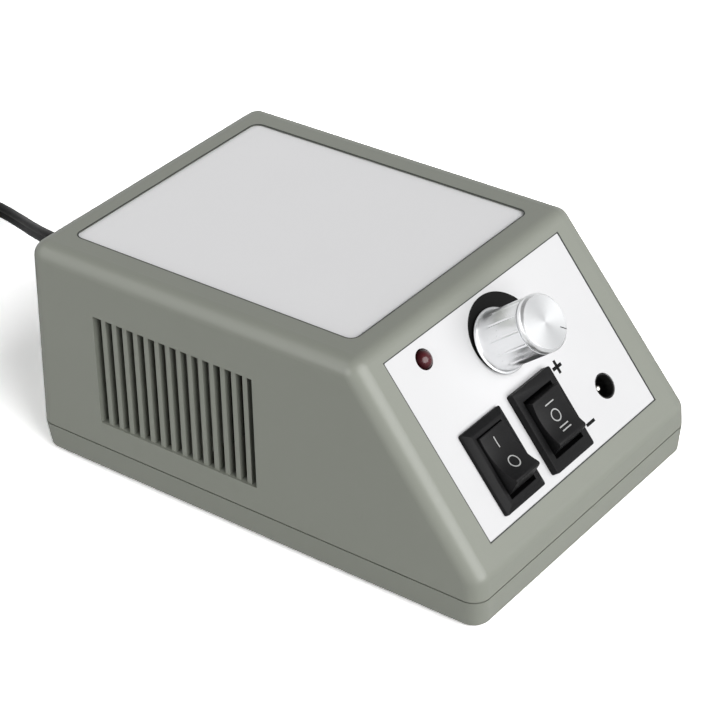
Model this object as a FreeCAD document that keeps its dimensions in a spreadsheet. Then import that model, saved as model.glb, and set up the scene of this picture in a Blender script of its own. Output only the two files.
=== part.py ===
import FreeCAD, Part
import math
import os
import re
import Sketcher
from FreeCAD import Placement, Rotation, Vector

# Nail drill machine: a mains-powered control box with a sloped front panel.
# Frame: X across the front, +Y to the back, +Z up, origin on the floor under the middle.
# Panel coordinates: u across the slope, v up the slope from the label's lower edge,
# and depth outwards from the slope's outer face.

DIMENSIONS = {
    # Housing and tray
    "body_width": 88.4, "body_length": 132.0, "foot_stand": 1.5, "tray_height": 7.25,
    "housing_height": 50.05, "draft_angle": 1.7, "wall": 2.5, "edge_round": 4.2,
    "slope_angle": 52.9, "front_band": 5.5, "label_margin": 5.6,
    "seam_gap": 0.4, "seam_depth": 0.7, "tray_taper": 0.6, "tray_floor": 2.5,
    "lip_gap": 0.3, "lip_wall": 1.0, "lip_height": 2.0, "tray_edge_round": 0.5,
    # Label and top plate
    "label_width": 68.6, "label_height": 46.4, "label_thick": 0.4, "label_recess": 0.6,
    "plate_width": 68.5, "plate_length": 83.4, "plate_thick": 0.5, "plate_recess": 1.0,
    "plate_back_margin": 7.4, "plate_corner": 2.5, "recess_fit": 0.15,
    # Side vents
    "vent_count": 15, "vent_front": -3.5, "vent_bottom": 15.5, "vent_height": 29.5,
    "vent_slot": 1.95, "vent_fin": 1.35, "vent_recess": 0.7,
    # Screw posts, screws and feet
    "post_x": 36.0, "post_front": -52.0, "post_back": 56.0, "post_radius": 3.6, "post_split": 14.0,
    "post_bore": 1.5, "post_bore_depth": 9.0, "screw_shank": 1.45, "screw_head": 2.75,
    "screw_head_height": 2.0, "screw_clear": 0.2, "screw_seat": 6.0,
    "foot_x": 27.0, "foot_y": 55.0, "foot_radius": 4.5, "foot_thick": 2.0, "foot_taper": 0.6,
    "bore_spare": 1.0, "overcut": 1.0,
    # Rocker switches
    "switch_v": 12.75, "power_u": -19.0, "polarity_u": 0.0, "bezel_width": 15.0, "bezel_length": 21.0,
    "bezel_height": 2.0, "bezel_edge": 1.0, "bevel_lip": 1.0,
    "switch_width": 12.9, "switch_length": 18.9, "cutout_fit": 0.15, "switch_depth": 12.0,
    "switch_floor": 2.2,
    "power_opening_width": 9.6, "power_opening_length": 15.8,
    "polarity_opening_width": 11.1, "polarity_opening_length": 15.2,
    "rocker_side_gap": 0.25, "rocker_pivot_depth": 0.9, "trunnion_radius": 1.0, "trunnion_length": 0.7,
    "trunnion_fit": 0.05, "power_tilt": 16.5, "polarity_tilt": 6.5,
    "rocker_foot": 6.4, "rocker_sink": 1.4,
    "power_tip": 6.4, "power_rise": 5.5, "power_reach": 7.3, "power_waist": 0.3, "power_dip": 3.5,
    "power_crown": 3.95, "power_crown_half": 3.2,
    "polarity_tip": 5.85, "polarity_rise": 5.45, "polarity_reach": 6.9, "polarity_waist": 1.0,
    "polarity_dip": 4.15, "polarity_crown": 4.4, "polarity_crown_half": 2.6,
    "spring_bore": 1.4, "spring_bore_depth": 4.2, "boss_radius": 2.1, "boss_bottom": -4.2,
    "plunger_radius": 1.2, "plunger_tip": -5.9, "plunger_seat": 1.4,
    "contact_drop": 6.0, "contact_tilt": 6.0, "contact_width": 4.0, "contact_length": 11.0,
    "contact_thick": 0.5, "contact_gap": 0.1, "pole_offset": 2.9,
    "blade_width": 4.8, "blade_thick": 0.8, "blade_fit": 0.1, "blade_reach": 19.0, "blade_offset": 5.3,
    # Speed control
    "knob_u": -0.75, "knob_v": 34.6, "knob_gap": 0.5, "skirt_radius": 7.95, "skirt_thick": 0.5,
    "collar_radius": 7.4, "collar_height": 2.7,
    "knob_radius": 6.95, "knob_top": 16.2, "rim_radius": 6.95, "rim_height": 1.75, "rim_chamfer": 0.55,
    "groove_radius": 6.6, "groove_height": 0.3, "knob_shell_radius": 6.0, "knob_roof": 1.2,
    "knob_cavity_top": 3.8,
    "knob_line_count": 12, "knob_line_width": 0.5, "knob_line_depth": 0.2,
    "pointer_length": 2.6, "pointer_width": 0.5, "pointer_depth": 0.3, "pointer_rest": -42.0,
    "shaft_radius": 3.0, "shaft_fit": 0.05, "shaft_top": 12.8, "shaft_tail_radius": 1.5,
    "bushing_radius": 3.5, "bushing_top": 2.9, "pot_plate_thick": 1.0, "pot_radius": 8.2,
    "pot_wafer_thick": 1.5, "pot_case_depth": 5.5, "pot_case_wall": 0.5, "pot_hole_fit": 0.1,
    "pot_tab": 1.8, "pot_tab_half": 6.5, "pot_terminal": 5.0, "pot_terminal_width": 1.2,
    "pot_terminal_step": 5.0, "thread_fit": 0.02,
    "washer_thick": 0.5, "washer_radius": 5.8, "nut_thick": 2.0, "nut_across": 10.0,
    # Indicator and output socket
    "led_inset": 11.2, "led_drop": 4.7, "led_radius": 2.45, "led_top": 1.2, "led_flange_radius": 2.9,
    "led_flange_thick": 1.0, "led_fit": 0.1, "led_lead_length": 9.0, "led_lead_spread": 2.54,
    "led_lead_thick": 0.5,
    "jack_inset": 12.2, "jack_v": 10.5, "jack_hole": 3.18, "jack_bore": 3.18, "jack_width": 10.0,
    "jack_height": 11.0, "jack_depth": 12.0, "jack_bore_depth": 9.5, "jack_pin_radius": 1.0,
    "jack_pin_tip": 0.3, "jack_blade": 5.0, "jack_blade_width": 2.0, "jack_leaf": 0.4,
    "jack_leaf_gap": 0.1,
    # Transformer
    "core_y": 32.0, "core_bottom": 6.0, "core_width": 48.0, "core_height": 40.0, "core_stack": 20.0,
    "core_leg": 8.0, "bobbin_fit": 0.3, "bobbin_wall": 1.0, "winding_depth": 5.5, "flange_rise": 0.6,
    "bracket_thick": 0.8, "bracket_width": 18.0, "bracket_foot": 12.0, "bracket_hole_x": 31.0,
    "bracket_screw_length": 3.6, "fuse_link_radius": 1.8, "fuse_link_length": 9.0, "fuse_link_x": -4.0,
    "fuse_link_gap": 0.1, "fuse_link_rise": 2.0, "primary_exit": 9.0, "secondary_exit": 10.0,
    # Circuit board and its parts, placed from the board's front edge
    "board_gap": 5.2, "board_length": 36.0, "board_width": 56.0, "board_bottom": 8.0,
    "board_thick": 1.6, "board_inset": 3.5, "standoff_radius": 3.0, "board_screw_radius": 1.2,
    "board_screw_head": 2.3, "board_screw_length": 4.6, "standoff_bore": 1.25,
    "capacitor_x": -20.0, "capacitor_back": 13.0, "capacitor_radius": 5.0, "capacitor_height": 16.0,
    "diode_x": -16.0, "diode_step": 4.0, "diode_back": 22.0, "diode_radius": 1.35, "diode_length": 5.2,
    "resistor_x": -7.0, "resistor_step": 3.0, "resistor_back": 12.5, "resistor_radius": 1.15,
    "resistor_length": 6.3, "lead_radius": 0.4, "leg_radius": 0.38, "lead_stub": 1.2, "part_lift": 0.15,
    "fuse_x": 22.0, "fuse_back": 18.0, "fuse_radius": 2.6, "fuse_cap": 5.0, "fuse_length": 20.0,
    "clip_width": 6.4, "clip_lift": 1.0,
    "sink_x": 6.0, "sink_back": 19.4, "sink_width": 22.0, "sink_height": 20.0,
    "sink_depth": 10.0, "sink_base": 2.4, "sink_fin": 1.2, "sink_fin_count": 5,
    "regulator_width": 10.0, "regulator_thick": 4.5, "regulator_tab": 1.3, "regulator_height": 9.0,
    "regulator_tall": 15.0, "regulator_lift": 4.0, "regulator_hole": 2.8,
    "connector_width": 10.0, "connector_depth": 5.8, "connector_height": 7.0, "connector_margin": 0.4,
    "connector_step": 12.0, "output_connector_x": -14.0, "mains_connector_x": 8.0,
    "pin_pitch": 2.0, "control_pitch": 1.6, "mains_pitch": 2.35,
    # Leads
    "wire_radius": 0.7, "lead_run": 4.0, "wire_pair": 1.2, "core_pair": 1.4,
    # Mains cord, coil and plug
    "cord_x": 12.0, "cord_z": 17.0, "cord_diameter": 4.6,
    "relief_hole": 5.0, "relief_fit": 0.1, "relief_flange": 7.5, "relief_flange_thick": 2.0,
    "relief_tail": 24.0, "relief_root": 4.6, "relief_tip": 3.4, "relief_collar": 6.0,
    "relief_inside": 3.75, "relief_slack": 0.5,
    "coil_outer": 36.5, "coil_pitch": 5.05, "coil_rise": 5.1, "coil_half_turns": 15,
    "tie_thick": 0.6, "tie_width": 12.0, "tie_gap": 0.3,
    "plug_sleeve": 26.0, "plug_sleeve_radius": 3.9, "sleeve_wall": 0.2, "plug_length": 36.0,
    "plug_width": 35.0, "plug_thick": 13.8, "plug_neck": 12.0, "plug_shoulder": 20.0, "plug_round": 2.5,
    "pin_radius": 2.0, "pin_length": 19.0, "pin_spacing": 18.6,
}

doc = FreeCAD.newDocument("nail_drill_machine")
sheet = doc.addObject("Spreadsheet::Sheet", "Sizes")
for row, (alias, size) in enumerate(DIMENSIONS.items(), 1):
    sheet.set(f"A{row}", alias)
    sheet.set(f"B{row}", str(size))
    sheet.setAlias(f"B{row}", alias)
doc.recompute()

pieces = {}


def named(text):
    """Write each driving dimension in an expression as a reference to its sheet cell."""
    return re.sub(r"[a-z_]+[a-z0-9_]*", lambda word: (
        "Sizes." + word.group(0) if word.group(0) in DIMENSIONS else word.group(0)), str(text))


def size_of(alias):
    return float(sheet.get(alias))


def bind(obj, **expressions):
    for prop, text in expressions.items():
        obj.setExpression(prop.replace("__", "."), named(text))
    return obj


def place(obj, x=0, y=0, z=0):
    return bind(obj, Placement__Base__x=x, Placement__Base__y=y, Placement__Base__z=z)


def turn(obj, axis, angle):
    obj.Placement = Placement(Vector(0, 0, 0), Rotation(axis, 90))
    return bind(obj, Placement__Rotation__Angle=angle)


# Derived places, written from the driving dimensions
SEAM = "(foot_stand + tray_height)"
TOP = f"({SEAM} + housing_height)"
LEAN = "tan(draft_angle)"
PANEL_Y = f"(front_band * {LEAN} + label_margin * cos(slope_angle) - body_length / 2)"
PANEL_Z = f"({SEAM} + front_band + label_margin * sin(slope_angle))"
FLOOR = "(foot_stand + tray_floor)"
LABEL_FACE = "(label_thick - label_recess)"
INNER_FACE = "(-wall)"
LED_U = "(led_inset - label_width / 2)"
LED_V = "(label_height - led_drop)"
JACK_U = "(label_width / 2 - jack_inset)"
WINDING_OUTER = "(core_leg + bobbin_fit + bobbin_wall + winding_depth)"
STACK_GROWTH = "(core_stack / 2 - core_leg)"
WINDING_FACE = f"(core_y - {WINDING_OUTER} - {STACK_GROWTH})"
BOARD_FRONT = f"({WINDING_FACE} - board_gap - board_length)"
BOARD_Y = f"({BOARD_FRONT} + board_length / 2)"
BOARD_TOP = "(board_bottom + board_thick)"
BOARD_HOLES = [(f"{side} * (board_width / 2 - board_inset)",
                f"{BOARD_Y} + {end} * (board_length / 2 - board_inset)")
               for side in (-1, 1) for end in (-1, 1)]
X_AXIS = Vector(1, 0, 0)
Y_AXIS = Vector(0, 1, 0)
Z_AXIS = Vector(0, 0, 1)


def panel_point(v, depth):
    """The y and z of a point of the slope, as expressions."""
    return (f"{PANEL_Y} + ({v}) * cos(slope_angle) - ({depth}) * sin(slope_angle)",
            f"{PANEL_Z} + ({v}) * sin(slope_angle) + ({depth}) * cos(slope_angle)")


def on_panel(obj, u=0, v=0, depth=0):
    """Stand an object, made in its own frame, on the slope at u, v and a depth outwards."""
    turn(obj, X_AXIS, "slope_angle")
    return place(obj, u, *panel_point(v, depth))


def box(name, length, width, height, x=0, y=0, z=0):
    """A box centred on x and y, standing on z."""
    obj = doc.addObject("Part::Box", name)
    bind(obj, Length=length, Width=width, Height=height)
    return place(obj, f"({x}) - ({length}) / 2", f"({y}) - ({width}) / 2", z)


def cylinder(name, radius, height, x=0, y=0, z=0, along=None):
    obj = doc.addObject("Part::Cylinder", name)
    bind(obj, Radius=radius, Height=height)
    if along == "x":
        obj.Placement = Placement(Vector(0, 0, 0), Rotation(Y_AXIS, 90))
    if along == "y":
        obj.Placement = Placement(Vector(0, 0, 0), Rotation(X_AXIS, -90))
    return place(obj, x, y, z)


def cone(name, lower, upper, height, x=0, y=0, z=0, along=None):
    obj = doc.addObject("Part::Cone", name)
    bind(obj, Radius1=lower, Radius2=upper, Height=height)
    if along == "y":
        obj.Placement = Placement(Vector(0, 0, 0), Rotation(X_AXIS, -90))
    return place(obj, x, y, z)


def ball(name, radius, x, z):
    obj = doc.addObject("Part::Sphere", name)
    bind(obj, Radius=radius)
    return place(obj, x, 0, z)


def fuse(name, *parts):
    obj = doc.addObject("Part::MultiFuse", name)
    obj.Shapes = list(parts)
    obj.Refine = True
    return obj


def group(name, *parts):
    obj = doc.addObject("Part::Compound", name)
    obj.Links = list(parts)
    return obj


def cut(name, base, *tools):
    obj = doc.addObject("Part::Cut", name)
    obj.Base = base
    obj.Tool = tools[0] if len(tools) == 1 else fuse(name + "_tools", *tools)
    return obj


def common(name, first, second):
    obj = doc.addObject("Part::Common", name)
    obj.Base = first
    obj.Tool = second
    return obj


def rounded(name, base, radius, wanted):
    """Fillet the edges of base for which wanted(edge) is true."""
    doc.recompute()
    edges = [(number, radius, radius) for number, edge in enumerate(base.Shape.Edges, 1) if wanted(edge)]
    obj = doc.addObject("Part::Fillet", name)
    obj.Base = base
    obj.Edges = edges
    return obj


def upright(edge):
    """True for an edge that rises, straight or leaning a little with the draft."""
    rise = edge.BoundBox
    return rise.ZLength > 4 * max(rise.XLength, rise.YLength)


def keep(name, obj):
    """Register a finished sub-part under the name that its file takes."""
    obj.Label = name
    pieces[name] = obj
    return obj


def origin_plane(body, role):
    return [plane for plane in body.Origin.OriginFeatures if plane.Role == role][0]


def outline(body, name, plane, corners):
    """A closed sketch of straight lines whose corners are tied to the sheet."""
    sketch = body.newObject("Sketcher::SketchObject", name)
    sketch.AttachmentSupport = (origin_plane(body, plane), "")
    sketch.MapMode = "FlatFace"
    places = [[float(sheet.evalExpression(named(text))) for text in corner] for corner in corners]
    count = len(corners)
    for index in range(count):
        start = Vector(*places[index], 0)
        end = Vector(*places[(index + 1) % count], 0)
        sketch.addGeometry(Part.LineSegment(start, end))
    for index in range(count):
        sketch.addConstraint(Sketcher.Constraint("Coincident", index, 2, (index + 1) % count, 1))
    for index, corner in enumerate(corners):
        for kind, text, value in zip(("DistanceX", "DistanceY"), corner, places[index]):
            number = sketch.addConstraint(Sketcher.Constraint(kind, -1, 1, index, 1, value))
            sketch.setExpression(f"Constraints[{number}]", named(text))
    return sketch


def rectangle(width, length):
    half_width = f"({width}) / 2"
    half_length = f"({length}) / 2"
    return [(f"-{half_width}", f"-{half_length}"), (half_width, f"-{half_length}"),
            (half_width, half_length), (f"-{half_width}", half_length)]


def padded_body(name, plane, corners, length):
    """A body whose outline is padded evenly to both sides of its plane."""
    body = doc.addObject("PartDesign::Body", name)
    pad = body.newObject("PartDesign::Pad", name + "_pad")
    pad.Profile = outline(body, name + "_sketch", plane, corners)
    pad.Midplane = True
    bind(pad, Length=length)
    return body


def turned_body(name, corners):
    """A body of revolution about its own Z axis; corners are radius and height."""
    body = doc.addObject("PartDesign::Body", name)
    sketch = outline(body, name + "_sketch", "XZ_Plane", corners)
    spin = body.newObject("PartDesign::Revolution", name + "_turn")
    spin.Profile = sketch
    spin.ReferenceAxis = (sketch, ["V_Axis"])
    spin.Angle = 360
    return body


def panel_box(name, width, length, height, u=0, v=0, depth=0):
    """A box on the slope, centred on u and v, rising outwards from depth."""
    obj = doc.addObject("Part::Box", name)
    bind(obj, Length=width, Width=length, Height=height)
    return on_panel(obj, f"({u}) - ({width}) / 2", f"({v}) - ({length}) / 2", depth)


def panel_cylinder(name, radius, height, u=0, v=0, depth=0):
    obj = doc.addObject("Part::Cylinder", name)
    bind(obj, Radius=radius, Height=height)
    return on_panel(obj, u, v, depth)


def panel_holes(tag):
    """Cutters for everything that passes through the label and the wall behind it."""
    below = f"{INNER_FACE} - overcut"
    deep = "wall + 3 * overcut"
    rocker = ["switch_width + 2 * cutout_fit", "switch_length + 2 * cutout_fit", deep]
    return [
        panel_box(tag + "_power_cutout", *rocker, "power_u", "switch_v", below),
        panel_box(tag + "_polarity_cutout", *rocker, "polarity_u", "switch_v", below),
        panel_cylinder(tag + "_pot_hole", "bushing_radius + pot_hole_fit", deep, "knob_u", "knob_v", below),
        panel_cylinder(tag + "_led_hole", "led_radius + led_fit", deep, LED_U, LED_V, below),
        panel_cylinder(tag + "_jack_hole", "jack_hole", deep, JACK_U, "jack_v", below),
    ]


# Upper housing: a drafted block whose front is cut off along the slope
def housing_block(name, inset, round_radius):
    block = doc.addObject("Part::Wedge", name + "_wedge")
    half_x = f"(body_width / 2 - ({inset}))"
    half_y = f"(body_length / 2 - ({inset}))"
    lean = f"(housing_height - ({inset})) * {LEAN}"
    bind(block, Ymin=0, Ymax=f"housing_height - ({inset})",
         Xmin=f"-{half_x}", Xmax=half_x, Zmin=f"-{half_y}", Zmax=half_y,
         X2min=f"-({half_x} - {lean})", X2max=f"{half_x} - {lean}",
         Z2min=f"-({half_y} - {lean})", Z2max=f"{half_y} - {lean}")
    block.Placement = Placement(Vector(0, 0, 0), Rotation(X_AXIS, 90))
    place(block, z=SEAM)
    slope = doc.addObject("Part::Box", name + "_slope")
    bind(slope, Length="2 * body_width", Width="1.5 * body_length", Height="body_length")
    on_panel(slope, "-body_width", "-body_length / 3", f"-({inset})")
    wedge = cut(name + "_cut", block, slope)
    seam = size_of("foot_stand") + size_of("tray_height")
    return rounded(name, wedge, round_radius, lambda edge: edge.BoundBox.ZMax > seam + 0.001)


def corner_posts(tag, radius, height, bottom):
    return [cylinder(f"{tag}_{side}_{end}", radius, height, f"{side} * post_x", f"post_{end}", bottom)
            for side in (-1, 1) for end in ("front", "back")]


PLATE_Y = f"(body_length / 2 - housing_height * {LEAN} - plate_back_margin - plate_length / 2)"


def vent_cutters():
    """A shallow window in the right side and the slots through it, and their mirror image."""
    pitch = "(vent_slot + vent_fin)"
    count = int(size_of("vent_count"))
    length = f"(vent_count * {pitch} - vent_fin)"
    window = doc.addObject("Part::Box", "vent_window")
    bind(window, Length="2 * wall", Width=length, Height="vent_height / cos(draft_angle)")
    turn(window, Y_AXIS, "-draft_angle")
    place(window, f"body_width / 2 - vent_recess - (vent_bottom - {SEAM}) * {LEAN}", "vent_front",
          "vent_bottom")
    slots = [box(f"vent_slot_{index}", "3 * wall", "vent_slot", "vent_height", "body_width / 2 - wall",
                 f"vent_front + vent_slot / 2 + {index} * {pitch}", "vent_bottom")
             for index in range(count)]
    right = fuse("vent_right", window, *slots)
    left = doc.addObject("Part::Mirroring", "vent_left")
    left.Source = right
    left.Normal = X_AXIS
    return [right, left]


def upper_housing():
    outer = housing_block("housing_outer", 0, size_of("edge_round"))
    inner = housing_block("housing_inner", "wall", size_of("edge_round") - size_of("wall"))
    shell = cut("housing_shell", outer, inner)
    posts = group("housing_posts", *corner_posts("post", "post_radius", "housing_height", "post_split"))
    solid = fuse("housing_solid", shell, common("housing_posts_trimmed", posts, outer))
    label_fit = "2 * recess_fit"
    label_seat = panel_box("label_seat", f"label_width + {label_fit}", f"label_height + {label_fit}", "wall",
                           0, "label_height / 2", "-label_recess")
    plate_seat = rounded("plate_seat", box("plate_seat_box", f"plate_width + {label_fit}",
                                           f"plate_length + {label_fit}", "wall", 0, PLATE_Y,
                                           f"{TOP} - plate_recess"),
                         size_of("plate_corner") + size_of("recess_fit"), upright)
    cord_hole = cylinder("cord_hole", "relief_hole", "3 * wall", "cord_x", "body_length / 2 - 2 * wall",
                         "cord_z", "y")
    bores = corner_posts("post_hole", "post_bore", "post_bore_depth", "post_split")
    return keep("upper_housing", cut("upper_housing_cut", solid, label_seat, plate_seat, cord_hole,
                                     *bores, *vent_cutters(), *panel_holes("wall")))


# Base tray: a shallow moulding with a stepped rim, a locating lip, screw bosses and supports
def base_tray():
    outer = doc.addObject("Part::Wedge", "tray_wedge")
    half_x = "(body_width / 2)"
    half_y = "(body_length / 2)"
    bind(outer, Ymin=0, Ymax="tray_height - seam_gap",
         Xmin=f"-({half_x} - tray_taper)", Xmax=f"{half_x} - tray_taper",
         Zmin=f"-({half_y} - tray_taper)", Zmax=f"{half_y} - tray_taper",
         X2min=f"-{half_x}", X2max=half_x, Z2min=f"-{half_y}", Z2max=half_y)
    outer.Placement = Placement(Vector(0, 0, 0), Rotation(X_AXIS, 90))
    place(outer, z="foot_stand")
    sides = rounded("tray_sides", outer, size_of("edge_round"), upright)
    stand = size_of("foot_stand")
    shell = rounded("tray_shell", sides, size_of("tray_edge_round"),
                    lambda edge: edge.BoundBox.ZMax < stand + 0.001)

    def ring(name, inset, height, bottom, corner):
        block = box(name + "_box", f"body_width - 2 * ({inset})", f"body_length - 2 * ({inset})",
                    height, 0, 0, bottom)
        return rounded(name, block, corner, upright)

    round_at_rim = size_of("edge_round") - size_of("seam_depth")
    round_at_lip = size_of("edge_round") - size_of("wall") - size_of("lip_gap")
    rim = ring("tray_rim", "seam_depth", "tray_height - tray_floor", FLOOR, round_at_rim)
    lip = ring("tray_lip", "wall + lip_gap", "tray_height - tray_floor + lip_height", FLOOR, round_at_lip)
    hollow = box("tray_hollow", "body_width - 2 * (wall + lip_gap + lip_wall)",
                 "body_length - 2 * (wall + lip_gap + lip_wall)", "tray_height + lip_height", 0, 0, FLOOR)
    walls = cut("tray_walls", fuse("tray_outer", shell, rim, lip), hollow)
    bosses = corner_posts("boss", "post_radius", "post_split - foot_stand - tray_floor / 2",
                          "foot_stand + tray_floor / 2")
    half_floor = "tray_floor / 2"
    standoffs = [cylinder(f"standoff_{number}", "standoff_radius", f"board_bottom - {FLOOR} + {half_floor}",
                          x, y, f"{FLOOR} - {half_floor}") for number, (x, y) in enumerate(BOARD_HOLES)]
    seats = [cylinder(f"bracket_seat_{side}", "post_radius", f"core_bottom - {FLOOR} + {half_floor}",
                      f"{side} * bracket_hole_x", "core_y", f"{FLOOR} - {half_floor}") for side in (-1, 1)]
    ribs = [box(f"core_rib_{side}", "core_leg / 2", "core_stack", f"core_bottom - {FLOOR} + {half_floor}",
                f"{side} * core_leg * 1.5", "core_y", f"{FLOOR} - {half_floor}") for side in (-1, 1)]
    solid = fuse("tray_solid", walls, *bosses, *standoffs, *seats, *ribs)
    heads = corner_posts("head_well", "screw_head + screw_clear", "screw_seat", 0)
    shanks = corner_posts("shank_hole", "screw_shank + screw_clear", "post_split", "overcut")
    board_bores = [cylinder(f"board_bore_{number}", "standoff_bore", "board_bottom", x, y, FLOOR)
                   for number, (x, y) in enumerate(BOARD_HOLES)]
    seat_bores = [cylinder(f"seat_bore_{side}", "post_bore", "core_bottom", f"{side} * bracket_hole_x",
                           "core_y", f"{FLOOR} - {half_floor}") for side in (-1, 1)]
    pads = [cylinder(f"foot_well_{side}_{end}", "foot_radius + recess_fit", "foot_thick",
                     f"{side} * foot_x", f"{end} * foot_y", 0) for side in (-1, 1) for end in (-1, 1)]
    return keep("base_tray", cut("base_tray_cut", solid, *heads, *shanks, *board_bores, *seat_bores, *pads))


def small_screw(name, head, head_height, shank, length, x, y, seat, down=True):
    """A pan-head screw; seat is the face its head bears on, and it points down or up."""
    if down:
        top = cylinder(name + "_head", head, head_height, x, y, seat)
        stem = cylinder(name + "_stem", shank, f"({length}) + ({head_height}) / 2", x, y,
                        f"({seat}) - ({length})")
    else:
        top = cylinder(name + "_head", head, head_height, x, y, f"({seat}) - ({head_height})")
        stem = cylinder(name + "_stem", shank, f"({length}) + ({head_height}) / 2", x, y,
                        f"({seat}) - ({head_height}) / 2")
    return fuse(name, top, stem)


def fixings():
    screws = [small_screw(f"case_screw_{side}_{end}", "screw_head", "screw_head_height", "screw_shank",
                          "post_split - screw_seat + post_bore_depth - bore_spare", f"{side} * post_x",
                          f"post_{end}", "screw_seat", down=False)
              for side in (-1, 1) for end in ("front", "back")]
    keep("housing_screws", group("housing_screw_set", *screws))
    feet = [cone(f"foot_{side}_{end}", "foot_radius - foot_taper", "foot_radius", "foot_thick",
                 f"{side} * foot_x", f"{end} * foot_y", 0) for side in (-1, 1) for end in (-1, 1)]
    keep("rubber_feet", group("rubber_foot_set", *feet))
    plate = padded_body("plate_blank", "XY_Plane", rectangle("plate_width", "plate_length"), "plate_thick")
    place(plate, 0, PLATE_Y, f"{TOP} - plate_recess + plate_thick / 2")
    keep("top_plate", rounded("plate_round", plate, size_of("plate_corner"), upright))
    film = padded_body("label_blank", "XY_Plane", rectangle("label_width", "label_height"), "label_thick")
    on_panel(film, 0, "label_height / 2", f"{LABEL_FACE} - label_thick / 2")
    keep("front_label", cut("label_cut", film, *panel_holes("label")))


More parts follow.
